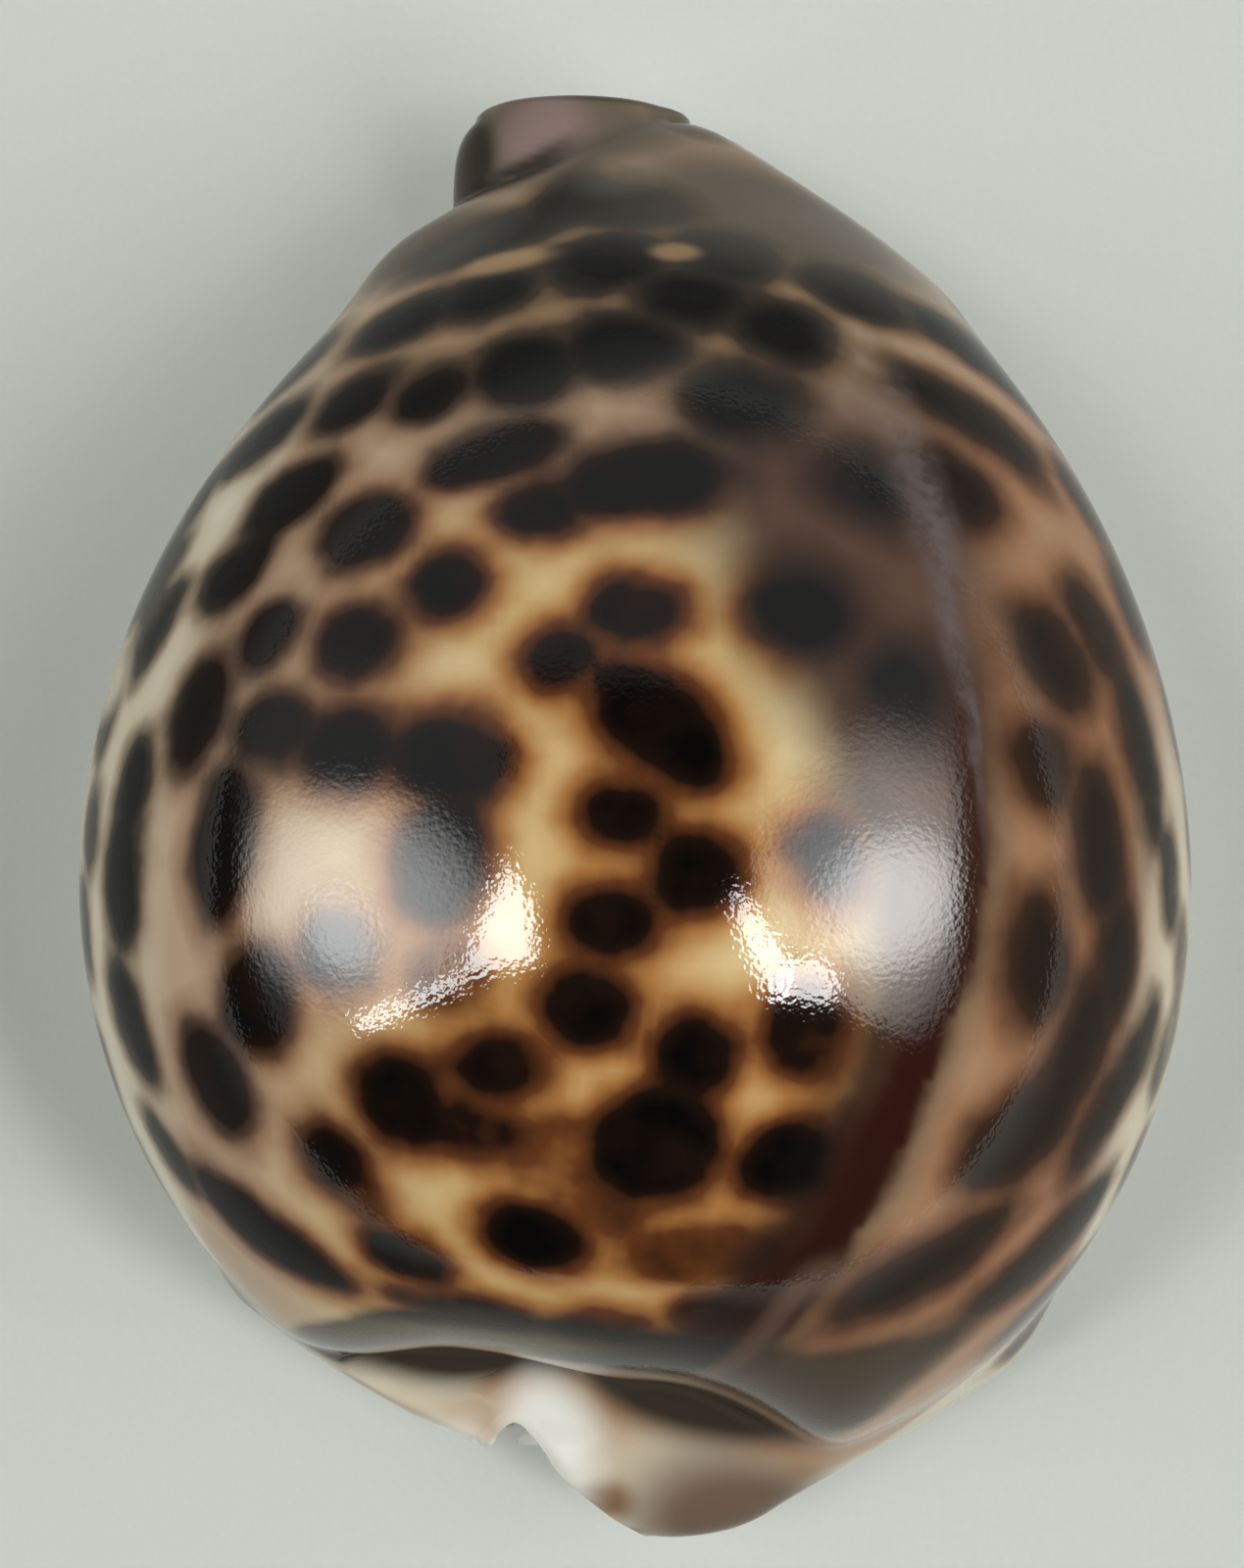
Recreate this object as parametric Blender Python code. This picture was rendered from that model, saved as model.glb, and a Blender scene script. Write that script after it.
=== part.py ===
"""Tiger cowrie shell: one hollow, porcelain-like body with a toothed slit underneath.

Frame: +Y is the narrow front end, +X the outer-lip side, +Z the humped back.
The shell lies on its base, which touches z = 0 on both sides of the slit.
The wall is a slab rolled round the long axis, from the outer lip over the back
to the inner lip. Lengths below are in millimetres and are placed in metres.
"""

import math

import bmesh
import bpy
import numpy as np

MM = 0.001

# Body: an egg in plan, humped behind the middle and flattened underneath.
HALF_LENGTH = 37.6
HALF_WIDTH = 30.9
MIDDLE_Y = -0.3
TAPER = 0.098
TAPER_ENDS = 0.045
BEND = 1.47
GIRTH_HEIGHT = 18.0
GIRTH_DROP = 8.0
HUMP_HEIGHT = 29.7
HUMP_LEAN = 7.5
BASE_DEPTH = 24.0
BACK_ROUNDNESS = 2.0
BASE_ROUNDNESS = 2.6
MOST_TAPER = 1.25
TUCK = 8.0
TUCK_HEIGHTS = (11.5, 16.5)
TUCK_RANGE = (0.55, 1.0)
TUCK_X = -4.5
TUCK_SIDES = (5.0, 17.0)
DENT = 4.0
DENT_X = -8.0
DENT_WIDTH = 5.5
BASE_LIFT = 2.6
BASE_LIFT_REACH = 42.0
BASE_CROWN = 0.9
BASE_CROWN_WIDTH = 5.0
REST_TRIM = 0.35

# Tapered round rods that grow out of the body: start, end, start and end radius.
SHOULDER = ((12.9, 26.2, 9.8), (2.0, 36.0, 9.0), 6.1, 5.6)
BROW = ((-9.5, 28.7, 12.0), (-1.0, 33.5, 12.8), 5.8, 5.8)
SPOUT = ((-3.9, 24.0, 8.9), (-3.9, 60.0, 8.6), 6.8, 7.0)
LOBE = ((17.2, -26.8, 10.0), (5.1, -36.4, 7.6), 6.5, 5.3)
WEB = ((-3.0, -33.5, 8.5), (1.0, -38.0, 7.2), 4.0, 4.2)
NUB = ((-18.4, -24.0, 9.6), (-10.4, -33.8, 6.6), 5.6, 2.3)
SADDLE_LEFT = ((-13.5, -32.9, 14.8), (-7.0, -33.7, 14.4), 2.9, 2.9)
SADDLE_RIGHT = ((-7.0, -33.7, 14.4), (2.0, -37.0, 16.0), 2.9, 2.0)

# Softness of the places where those forms meet.
BODY_FILLET = 1.5
SPOUT_CREASE = 0.4
BACK_FILLET = 1.6
SADDLE_FILLET = 1.0
SADDLE_EDGE = 0.8
FRONT_EDGE = 1.2
BASE_EDGE = 2.0

# Hollow: a smaller egg over a shelf, round a column, with a canal at each end.
WALL = 2.2
SHELF_HEIGHT = 7.2
COLUMN = ((-14.0, 24.0, 10.0), (-13.5, -18.0, 12.0), 5.5, 7.5)
FRONT_CANAL = ((-3.0, 18.0, 9.8), (-3.2, 60.0, 9.4), 4.4, 3.3)
BACK_CANAL = ((0.0, -18.0, 13.0), (-7.6, -37.0, 7.6), 4.0, 1.6)
THINNEST_WALL = 1.4
HOLLOW_FILLET = 1.5
CANAL_FILLET = 1.2

# Line that the wall is rolled round: low at both ends.
AXIS_HEIGHT = 17.0
AXIS_DROP_FRONT = 7.8
AXIS_DROP_FRONT_Y = (12.0, 40.0)
AXIS_DROP_BACK = 8.6
AXIS_DROP_BACK_Y = (10.0, 36.0)

# Slit: a curve that bows towards the outer lip.
SLIT_BOW_X = 2.6
SLIT_BOW_Y = 4.0
SLIT_BEND_FRONT = 0.0044
SLIT_BEND_BACK = 0.0064
HALF_GAP = 2.1
HALF_GAP_FRONT = 2.5
HALF_GAP_ENDS = 1.4
GAP_WIDENS_Y = (-10.0, 25.0)
GAP_NARROWS_Y = (28.0, 38.0)
LIP_HEIGHT = 4.4
LIP_ROUND = 2.2
LIP_ROUND_ENDS = 1.2
LIP_THINS_Y = (20.0, 40.0)
END_ROUND = 0.9
FRONT_Y = 40.8
FRONT_END_Y = 42.2
FRONT_END_BOW = 0.014
FRONT_END_MIDDLE_X = -1.8
BACK_Y = -34.6

# How the wall leans back into the lobe and the nub: turn, and the angles where it comes and goes.
TURN_START_Y = -24.0
LOBE_TURN = math.radians(44.0)
LOBE_TURN_RISE = (0.0, 50.0)
LOBE_TURN_FALL = (115.0, 185.0)
NUB_TURN = math.radians(36.0)
NUB_TURN_RISE = (185.0, 240.0)
NUB_TURN_FALL = (300.0, 350.0)

# Teeth: one for each station of the slab between the two end canals.
TEETH = 26
TOOTH_HEIGHT = 0.8
OUTER_TOOTH_FADE = (0.6, 3.8)
INNER_TOOTH_FADE = (0.4, 2.4)
TOOTH_ROW_FADE = 2.0
STATIONS_PAST_TEETH = 3

# Slab: stations along, lines round, steps through the wall.
STATIONS = TEETH + 2 * STATIONS_PAST_TEETH
LINES = 32
LIP_LINES = 4
WALL_STEPS = 4
TOOTH_CUTS = 3
LIP_LINE_ANGLE = 0.085
EVEN_FROM_LINES = (LIP_LINES - 1.0, LIP_LINES + 5.0)
TOOTHED_DEPTH = -0.6
LINE_SAMPLES = 400
MOST_REACH = 48.0
REACH_STEPS = 25
REACH_HALVINGS = 16

GLAZE_COLOUR = (0.32, 0.17, 0.07, 1.0)
GLAZE_ROUGHNESS = 0.08


def ease(low, high, value):
    """0 below low, 1 above high, and smooth between them."""
    t = np.clip((value - low) / (high - low), 0.0, 1.0)
    return t * t * (3.0 - 2.0 * t)


def join(softness, *forms):
    """Union of signed forms with a fillet of about the given softness."""
    total = forms[0]
    for form in forms[1:]:
        total = -softness * np.logaddexp(-total / softness, -form / softness)
    return total


def cut(softness, form, cutter):
    """What is left of a form outside a cutter, with a soft edge."""
    return softness * np.logaddexp(form / softness, -cutter / softness)


def rod(point, start, end, start_radius, end_radius):
    """Signed distance to a tapered round rod."""
    start = np.array(start)
    along = np.array(end) - start
    t = np.clip((point - start) @ along / (along @ along), 0.0, 1.0)
    offset = point - start - t[..., None] * along
    return np.linalg.norm(offset, axis=-1) - start_radius - (end_radius - start_radius) * t


def egg(point, shrink=0.0):
    """Signed form of the body, or of a body with a wall of the given thickness taken off."""
    x, y, z = np.moveaxis(point, -1, 0)
    half_length = HALF_LENGTH - shrink
    rough = (y - MIDDLE_Y) / half_length
    dent = DENT * np.exp(-(((x - DENT_X) / DENT_WIDTH) ** 2))
    middle = 1.0 - ease(*TUCK_SIDES, np.abs(x - TUCK_X))
    tuck = (TUCK + dent) * middle * ease(*TUCK_HEIGHTS, z) * ease(*TUCK_RANGE, -rough)
    s = np.clip((y - MIDDLE_Y) / (half_length - tuck), -MOST_TAPER, MOST_TAPER)
    width = (HALF_WIDTH - shrink) * (1.0 - TAPER * s - TAPER_ENDS * s * s)
    girth = GIRTH_HEIGHT - GIRTH_DROP * s * s
    above = z > girth
    height = np.where(above, HUMP_HEIGHT - HUMP_LEAN * s, BASE_DEPTH - GIRTH_DROP * s * s) - shrink
    power = np.where(above, BACK_ROUNDNESS, BASE_ROUNDNESS)
    across = np.abs(x - BEND * s * s) / width
    up = np.abs(z - girth) / height
    ring = (across**power + up**power) ** (1.0 / power)
    size = np.sqrt(ring**2 + s * s)
    slope = np.sqrt((across / width) ** 2 + (s / half_length) ** 2 + (up / height) ** 2)
    return size * (size - 1.0) / (slope + 1e-9)


def slit_x(y):
    """Where the middle of the slit lies across the base."""
    bend = np.where(y < SLIT_BOW_Y, SLIT_BEND_BACK, SLIT_BEND_FRONT)
    return SLIT_BOW_X - bend * (y - SLIT_BOW_Y) ** 2


def axis_z(y):
    """Height of the line that the wall is rolled round."""
    front = AXIS_DROP_FRONT * ease(*AXIS_DROP_FRONT_Y, y)
    back = AXIS_DROP_BACK * ease(*AXIS_DROP_BACK_Y, -y)
    return AXIS_HEIGHT - front - back


def base_z(point):
    """Height of the base, which lifts towards both ends and towards the slit."""
    x, y, _ = np.moveaxis(point, -1, 0)
    lift = BASE_LIFT * (np.abs(y) / BASE_LIFT_REACH) ** 4
    return lift + BASE_CROWN * np.exp(-(((x - slit_x(y)) / BASE_CROWN_WIDTH) ** 2))


def front_end(point):
    """Signed form of all that lies past the bowed front end."""
    x, y, _ = np.moveaxis(point, -1, 0)
    return FRONT_END_Y - FRONT_END_BOW * (x - FRONT_END_MIDDLE_X) ** 2 - y


def outer_form(point):
    form = join(BODY_FILLET, egg(point), rod(point, *BROW), rod(point, *SHOULDER))
    form = join(SPOUT_CREASE, form, rod(point, *SPOUT))
    form = cut(FRONT_EDGE, form, front_end(point))
    form = join(BACK_FILLET, form, rod(point, *LOBE), rod(point, *WEB), rod(point, *NUB))
    saddle = join(SADDLE_FILLET, rod(point, *SADDLE_LEFT), rod(point, *SADDLE_RIGHT))
    form = cut(SADDLE_EDGE, form, saddle)
    return cut(BASE_EDGE, form, point[..., 2] - base_z(point))


def hollow_form(point):
    form = cut(HOLLOW_FILLET, egg(point, WALL), point[..., 2] - SHELF_HEIGHT)
    form = cut(HOLLOW_FILLET, form, rod(point, *COLUMN))
    return join(CANAL_FILLET, form, rod(point, *FRONT_CANAL), rod(point, *BACK_CANAL))


def half_gap(y):
    """Half the width of the slit at its narrowest: wider in front, narrow in both canals."""
    along = HALF_GAP + (HALF_GAP_FRONT - HALF_GAP) * ease(*GAP_WIDENS_Y, y)
    return along + (HALF_GAP_ENDS - along) * ease(*GAP_NARROWS_Y, np.abs(y))


def lip_round(y):
    return LIP_ROUND + (LIP_ROUND_ENDS - LIP_ROUND) * ease(*LIP_THINS_Y, np.abs(y))


def lip_angle(y):
    """Angle, from straight down, at which a lip starts to round into the slit."""
    return np.arctan2(half_gap(y) + lip_round(y), axis_z(y) - LIP_HEIGHT)


def line_angle(y, line):
    """Angle of a line of the slab: close lines at both lips, even lines over the back."""
    first = lip_angle(y)
    middle_lines = LINES - 2 * LIP_LINES
    step = (2.0 * math.pi - 2.0 * first - 2 * LIP_LINES * LIP_LINE_ANGLE) / middle_lines
    in_lips = np.clip(line, 0, LIP_LINES) + np.clip(line - LINES + LIP_LINES, 0, LIP_LINES)
    return first + LIP_LINE_ANGLE * in_lips + step * np.clip(line - LIP_LINES, 0, middle_lines)


def window(rise, fall, angle):
    """1 between two angle ranges in degrees, and 0 outside them."""
    return ease(*np.radians(rise), angle) * (1.0 - ease(*np.radians(fall), angle))


def turn_back(y, angle):
    """How far the wall leans back at the back end, into the lobe and into the nub."""
    lobe = LOBE_TURN * window(LOBE_TURN_RISE, LOBE_TURN_FALL, angle)
    nub = NUB_TURN * window(NUB_TURN_RISE, NUB_TURN_FALL, angle)
    return (lobe + nub) * ease(-TURN_START_Y, -BACK_Y, -y)


def reach(form, origin, direction):
    """Distance along each ray to where it last leaves a form."""
    steps = np.linspace(0.0, MOST_REACH, REACH_STEPS)
    low = np.zeros(origin.shape[:-1])
    for distance in steps[1:]:
        inside = form(origin + distance * direction) < 0.0
        low = np.where(inside, distance, low)
    high = low + steps[1]
    for _ in range(REACH_HALVINGS):
        middle = (low + high) / 2.0
        inside = form(origin + middle[..., None] * direction) < 0.0
        low = np.where(inside, middle, low)
        high = np.where(inside, high, middle)
    return (low + high) / 2.0


def ray(y, line):
    """Origin and direction of the ray that crosses the wall at a place along and round it."""
    angle = line_angle(y, line)
    turn = turn_back(y, angle)
    origin = np.stack([slit_x(y), y, axis_z(y)], axis=-1)
    direction = [np.sin(angle) * np.cos(turn), -np.sin(turn), -np.cos(angle) * np.cos(turn)]
    return origin, np.stack(direction, axis=-1)


def even_stations(station, line):
    """Y of each station: straight across both lips, and evenly spaced over the back."""
    sample_y = np.linspace(BACK_Y, FRONT_Y, LINE_SAMPLES)
    y = np.empty_like(station)
    for one in np.unique(line):
        origin, direction = ray(sample_y, np.full(LINE_SAMPLES, one))
        points = origin + reach(outer_form, origin, direction)[:, None] * direction
        run = np.cumsum(np.linalg.norm(np.diff(points, axis=0, prepend=points[:1]), axis=-1))
        chosen = line == one
        y[chosen] = np.interp(station[chosen] / STATIONS * run[-1], run, sample_y)
    straight = BACK_Y + (FRONT_Y - BACK_Y) * station / STATIONS
    from_lip = np.minimum(line, LINES - line)
    return straight + (y - straight) * ease(*EVEN_FROM_LINES, from_lip)


def tooth(station, line):
    """Height of the teeth: one ridge for each station, fading out over each lip."""
    count = station - STATIONS_PAST_TEETH
    ridge = np.where((count > 0) & (count < TEETH), np.sin(math.pi * count) ** 2, 0.0)
    ends = ease(0.0, TOOTH_ROW_FADE, count) * ease(0.0, TOOTH_ROW_FADE, TEETH - count)
    outer_lip = 1.0 - ease(*OUTER_TOOTH_FADE, line)
    inner_lip = 1.0 - ease(*INNER_TOOTH_FADE, LINES - line)
    return TOOTH_HEIGHT * ridge * ends * np.maximum(outer_lip, inner_lip)


def shell_points(station, line, depth):
    """Points of the slab on the shell. Depth is 1 on the outside and -1 in the hollow."""
    y = even_stations(station, line)
    origin, direction = ray(y, line)
    outside = reach(outer_form, origin, direction)
    inside = np.minimum(reach(hollow_form, origin, direction), outside - THINNEST_WALL)
    edge = np.sqrt(np.clip(1.0 - depth * depth, 0.0, 1.0))
    at_lip = np.where(line < 0.5, -1.0, 1.0) * edge * ((line == 0) | (line == LINES))
    at_end = edge * ((station == 0) | (station == STATIONS))
    ridge = tooth(station, line) * ease(-1.0, 0.0, depth)
    radius = inside + (outside - inside) * (depth + 1.0) / 2.0 + ridge * np.clip(depth, 0.0, 1.0)
    points = origin + radius[:, None] * direction
    points[:, 0] += at_lip * (lip_round(y) + ridge)
    backwards = np.stack([np.zeros_like(y), -np.ones_like(y), np.zeros_like(y)], axis=-1)
    lean = backwards - (backwards * direction).sum(axis=-1, keepdims=True) * direction
    lean /= np.linalg.norm(lean, axis=-1, keepdims=True)
    points += np.where(station == 0, 1.0, -1.0)[:, None] * at_end[:, None] * END_ROUND * lean
    points[:, 2] = np.maximum(points[:, 2], REST_TRIM) - REST_TRIM
    return points


def subdivide(slab, axis, cuts, chosen=lambda edge: True):
    """Cut the edges that run along one axis of the slab."""
    edges = []
    for edge in slab.edges:
        run = edge.verts[1].co - edge.verts[0].co
        if abs(run[axis]) > 0.5 * run.length and chosen(edge):
            edges.append(edge)
    bmesh.ops.subdivide_edges(slab, edges=edges, cuts=cuts, use_grid_fill=True)


def slab_of_shell():
    """A flat block cut into stations, lines and wall steps, with the toothed strips cut finer."""
    slab = bmesh.new()
    bmesh.ops.create_cube(slab, size=2.0)
    subdivide(slab, 0, STATIONS - 1)
    subdivide(slab, 1, LINES - 1)
    subdivide(slab, 2, WALL_STEPS - 1)
    lip_strip = 1.0 - 2.0 * (LIP_LINES - 0.5) / LINES
    toothed = 1.0 - 2.0 * (STATIONS_PAST_TEETH - 0.5) / STATIONS

    def at_teeth(edge):
        middle = (edge.verts[0].co + edge.verts[1].co) / 2.0
        outside = middle.z > TOOTHED_DEPTH
        return outside and abs(middle.y) > lip_strip and abs(middle.x) < toothed

    subdivide(slab, 0, TOOTH_CUTS, at_teeth)
    return slab


def roll(slab):
    """Move every vertex of the flat slab to its place on the shell."""
    flat = np.array([vertex.co for vertex in slab.verts])
    station = np.round((flat[:, 0] + 1.0) / 2.0 * STATIONS, 6)
    line = np.round((flat[:, 1] + 1.0) / 2.0 * LINES, 6)
    depth = np.sin(math.pi / 2.0 * np.round(flat[:, 2], 6))
    for vertex, place in zip(slab.verts, shell_points(station, line, depth)):
        vertex.co = place * MM
    bmesh.ops.recalc_face_normals(slab, faces=slab.faces)


def porcelain():
    material = bpy.data.materials.new("spotted_glaze")
    material.use_nodes = True
    shader = material.node_tree.nodes["Principled BSDF"]
    shader.inputs["Base Color"].default_value = GLAZE_COLOUR
    shader.inputs["Roughness"].default_value = GLAZE_ROUGHNESS
    shader.inputs["Metallic"].default_value = 0.0
    return material


def clear_scene():
    for item in list(bpy.data.objects):
        bpy.data.objects.remove(item, do_unlink=True)


def main():
    clear_scene()
    slab = slab_of_shell()
    roll(slab)
    mesh = bpy.data.meshes.new("shell")
    slab.to_mesh(mesh)
    slab.free()
    mesh.shade_smooth()
    shell = bpy.data.objects.new("shell", mesh)
    shell.data.materials.append(porcelain())
    bpy.context.scene.collection.objects.link(shell)


main()
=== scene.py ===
"""Finish of a tiger cowrie: a polished, spotted shell lying on a pale table.

The wall is rolled up at full detail from the same forms as the solid that it replaces.
Its markings are fields worked out at every vertex: how far it is from the nearest blotch,
how far from the mantle line, and how much white or dark glaze lies over it. The glaze
material turns those fields into colour. Lengths are in millimetres unless a name says
otherwise, and are placed in metres.
"""

import math

import bmesh
import bpy
import numpy as np
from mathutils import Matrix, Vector


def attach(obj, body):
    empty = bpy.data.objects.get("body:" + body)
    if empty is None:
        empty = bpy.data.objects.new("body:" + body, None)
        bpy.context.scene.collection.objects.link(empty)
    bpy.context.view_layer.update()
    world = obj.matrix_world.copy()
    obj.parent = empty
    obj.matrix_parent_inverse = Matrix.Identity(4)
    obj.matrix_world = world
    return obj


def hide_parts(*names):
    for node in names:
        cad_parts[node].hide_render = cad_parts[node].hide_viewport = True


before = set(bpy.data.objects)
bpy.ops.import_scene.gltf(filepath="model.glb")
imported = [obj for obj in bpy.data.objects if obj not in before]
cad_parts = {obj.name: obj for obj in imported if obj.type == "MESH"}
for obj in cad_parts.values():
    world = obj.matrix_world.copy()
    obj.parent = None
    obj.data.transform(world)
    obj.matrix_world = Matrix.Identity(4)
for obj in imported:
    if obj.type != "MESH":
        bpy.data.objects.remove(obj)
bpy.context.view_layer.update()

MM = 0.001

# ---------------------------------------------------------------- form of the shell

# Body: an egg in plan, humped behind the middle and flattened underneath.
HALF_LENGTH = 37.6
HALF_WIDTH = 30.9
MIDDLE_Y = -0.3
TAPER = 0.098
TAPER_ENDS = 0.045
BEND = 1.47
GIRTH_HEIGHT = 18.0
GIRTH_DROP = 8.0
HUMP_HEIGHT = 29.7
HUMP_LEAN = 7.5
BASE_DEPTH = 24.0
BACK_ROUNDNESS = 2.0
BASE_ROUNDNESS = 2.6
MOST_TAPER = 1.25
TUCK = 8.0
TUCK_HEIGHTS = (11.5, 16.5)
TUCK_RANGE = (0.55, 1.0)
TUCK_X = -4.5
TUCK_SIDES = (5.0, 17.0)
DENT = 4.0
DENT_X = -8.0
DENT_WIDTH = 5.5
BASE_LIFT = 2.6
BASE_LIFT_REACH = 42.0
BASE_CROWN = 0.9
BASE_CROWN_WIDTH = 5.0
REST_TRIM = 0.35

# Tapered round rods that grow out of the body: start, end, start and end radius.
SHOULDER = ((12.9, 26.2, 9.8), (2.0, 36.0, 9.0), 6.1, 5.6)
BROW = ((-9.5, 28.7, 12.0), (-1.0, 33.5, 12.8), 5.8, 5.8)
SPOUT = ((-3.9, 24.0, 8.9), (-3.9, 60.0, 8.6), 6.8, 7.0)
LOBE = ((17.2, -26.8, 10.0), (5.1, -36.4, 7.6), 6.5, 5.3)
WEB = ((-3.0, -33.5, 8.5), (1.0, -38.0, 7.2), 4.0, 4.2)
NUB = ((-18.4, -24.0, 9.6), (-10.4, -33.8, 6.6), 5.6, 2.3)
SADDLE_LEFT = ((-13.5, -32.9, 14.8), (-7.0, -33.7, 14.4), 2.9, 2.9)
SADDLE_RIGHT = ((-7.0, -33.7, 14.4), (2.0, -37.0, 16.0), 2.9, 2.0)

# Softness of the places where those forms meet.
BODY_FILLET = 1.5
SPOUT_CREASE = 0.25
BACK_FILLET = 1.6
SADDLE_FILLET = 1.0
SADDLE_EDGE = 0.6
FRONT_EDGE = 1.2
BASE_EDGE = 2.0

# Hollow: a smaller egg over a shelf, round a column, with a canal at each end.
WALL = 2.2
SHELF_HEIGHT = 7.2
COLUMN = ((-14.0, 24.0, 10.0), (-13.5, -18.0, 12.0), 5.5, 7.5)
FRONT_CANAL = ((-3.0, 18.0, 9.8), (-3.2, 60.0, 9.4), 4.4, 3.3)
BACK_CANAL = ((0.0, -18.0, 13.0), (-7.6, -37.0, 7.6), 4.0, 1.6)
THINNEST_WALL = 1.4
HOLLOW_FILLET = 1.5
CANAL_FILLET = 1.2

# Line that the wall is rolled round: low at both ends.
AXIS_HEIGHT = 17.0
AXIS_DROP_FRONT = 7.8
AXIS_DROP_FRONT_Y = (12.0, 40.0)
AXIS_DROP_BACK = 8.6
AXIS_DROP_BACK_Y = (10.0, 36.0)

# Slit: a curve that bows towards the outer lip.
SLIT_BOW_X = 2.6
SLIT_BOW_Y = 4.0
SLIT_BEND_FRONT = 0.0044
SLIT_BEND_BACK = 0.0064
HALF_GAP = 2.1
HALF_GAP_FRONT = 2.5
HALF_GAP_ENDS = 1.4
GAP_WIDENS_Y = (-10.0, 25.0)
GAP_NARROWS_Y = (28.0, 38.0)
LIP_HEIGHT = 4.4
LIP_ROUND = 2.2
LIP_ROUND_ENDS = 1.2
LIP_THINS_Y = (20.0, 40.0)
END_ROUND = 0.9
FRONT_Y = 40.8
FRONT_END_Y = 42.2
FRONT_END_BOW = 0.014
FRONT_END_MIDDLE_X = -1.8
BACK_Y = -34.6

# How the wall leans back into the lobe and the nub: turn, and the angles where it comes and goes.
TURN_START_Y = -24.0
LOBE_TURN = math.radians(44.0)
LOBE_TURN_RISE = (0.0, 50.0)
LOBE_TURN_FALL = (115.0, 185.0)
NUB_TURN = math.radians(36.0)
NUB_TURN_RISE = (185.0, 240.0)
NUB_TURN_FALL = (300.0, 350.0)

# Teeth: one for each station of the slab between the two end canals.
TEETH = 26
TOOTH_HEIGHT = 0.8
OUTER_TOOTH_FADE = (0.6, 3.8)
INNER_TOOTH_FADE = (0.4, 2.4)
TOOTH_ROW_FADE = 2.0
STATIONS_PAST_TEETH = 3
STATIONS = TEETH + 2 * STATIONS_PAST_TEETH
LINES = 32
LIP_LINES = 4
LIP_LINE_ANGLE = 0.085
EVEN_FROM_LINES = (LIP_LINES - 1.0, LIP_LINES + 5.0)

# Slab: coarse cuts all over, then finer ones on the face that shows.
CUTS_ALONG = 64
CUTS_ROUND = 80
CUTS_THROUGH = 8
FINE_CUTS = 3
FINE_ABOVE = -0.6
LIP_SHARE = 0.09
LINE_SAMPLES = 160
SPREAD_LINES = 65
MOST_REACH = 48.0
REACH_STEPS = 25
REACH_CLOSINGS = 7
ROUNDING = 6


def ease(low, high, value):
    """0 below low, 1 above high, and smooth between them."""
    t = np.clip((value - low) / (high - low), 0.0, 1.0)
    return t * t * (3.0 - 2.0 * t)


def join(softness, *forms):
    """Union of signed forms with a fillet of about the given softness."""
    total = forms[0]
    for form in forms[1:]:
        total = -softness * np.logaddexp(-total / softness, -form / softness)
    return total


def cut(softness, form, cutter):
    """What is left of a form outside a cutter, with a soft edge."""
    return softness * np.logaddexp(form / softness, -cutter / softness)


def rod(point, start, end, start_radius, end_radius):
    """Signed distance to a tapered round rod."""
    start = np.array(start)
    along = np.array(end) - start
    t = np.clip((point - start) @ along / (along @ along), 0.0, 1.0)
    offset = point - start - t[..., None] * along
    return np.linalg.norm(offset, axis=-1) - start_radius - (end_radius - start_radius) * t


def egg(point, shrink=0.0):
    """Signed form of the body, or of a body with a wall of the given thickness taken off."""
    x, y, z = np.moveaxis(point, -1, 0)
    half_length = HALF_LENGTH - shrink
    rough = (y - MIDDLE_Y) / half_length
    dent = DENT * np.exp(-(((x - DENT_X) / DENT_WIDTH) ** 2))
    middle = 1.0 - ease(*TUCK_SIDES, np.abs(x - TUCK_X))
    tuck = (TUCK + dent) * middle * ease(*TUCK_HEIGHTS, z) * ease(*TUCK_RANGE, -rough)
    s = np.clip((y - MIDDLE_Y) / (half_length - tuck), -MOST_TAPER, MOST_TAPER)
    width = (HALF_WIDTH - shrink) * (1.0 - TAPER * s - TAPER_ENDS * s * s)
    girth = GIRTH_HEIGHT - GIRTH_DROP * s * s
    above = z > girth
    height = np.where(above, HUMP_HEIGHT - HUMP_LEAN * s, BASE_DEPTH - GIRTH_DROP * s * s) - shrink
    power = np.where(above, BACK_ROUNDNESS, BASE_ROUNDNESS)
    across = np.abs(x - BEND * s * s) / width
    up = np.abs(z - girth) / height
    ring = (across**power + up**power) ** (1.0 / power)
    size = np.sqrt(ring**2 + s * s)
    slope = np.sqrt((across / width) ** 2 + (s / half_length) ** 2 + (up / height) ** 2)
    return size * (size - 1.0) / (slope + 1e-9)


def slit_x(y):
    """Where the middle of the slit lies across the base."""
    bend = np.where(y < SLIT_BOW_Y, SLIT_BEND_BACK, SLIT_BEND_FRONT)
    return SLIT_BOW_X - bend * (y - SLIT_BOW_Y) ** 2


def axis_z(y):
    """Height of the line that the wall is rolled round."""
    front = AXIS_DROP_FRONT * ease(*AXIS_DROP_FRONT_Y, y)
    back = AXIS_DROP_BACK * ease(*AXIS_DROP_BACK_Y, -y)
    return AXIS_HEIGHT - front - back


def base_z(point):
    """Height of the base, which lifts towards both ends and towards the slit."""
    x, y, _ = np.moveaxis(point, -1, 0)
    lift = BASE_LIFT * (np.abs(y) / BASE_LIFT_REACH) ** 4
    return lift + BASE_CROWN * np.exp(-(((x - slit_x(y)) / BASE_CROWN_WIDTH) ** 2))


def front_end(point):
    """Signed form of all that lies past the bowed front end."""
    x, y, _ = np.moveaxis(point, -1, 0)
    return FRONT_END_Y - FRONT_END_BOW * (x - FRONT_END_MIDDLE_X) ** 2 - y


def body_form(point):
    """Signed form of the egg with the two humps at its front end."""
    return join(BODY_FILLET, egg(point), rod(point, *BROW), rod(point, *SHOULDER))


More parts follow.
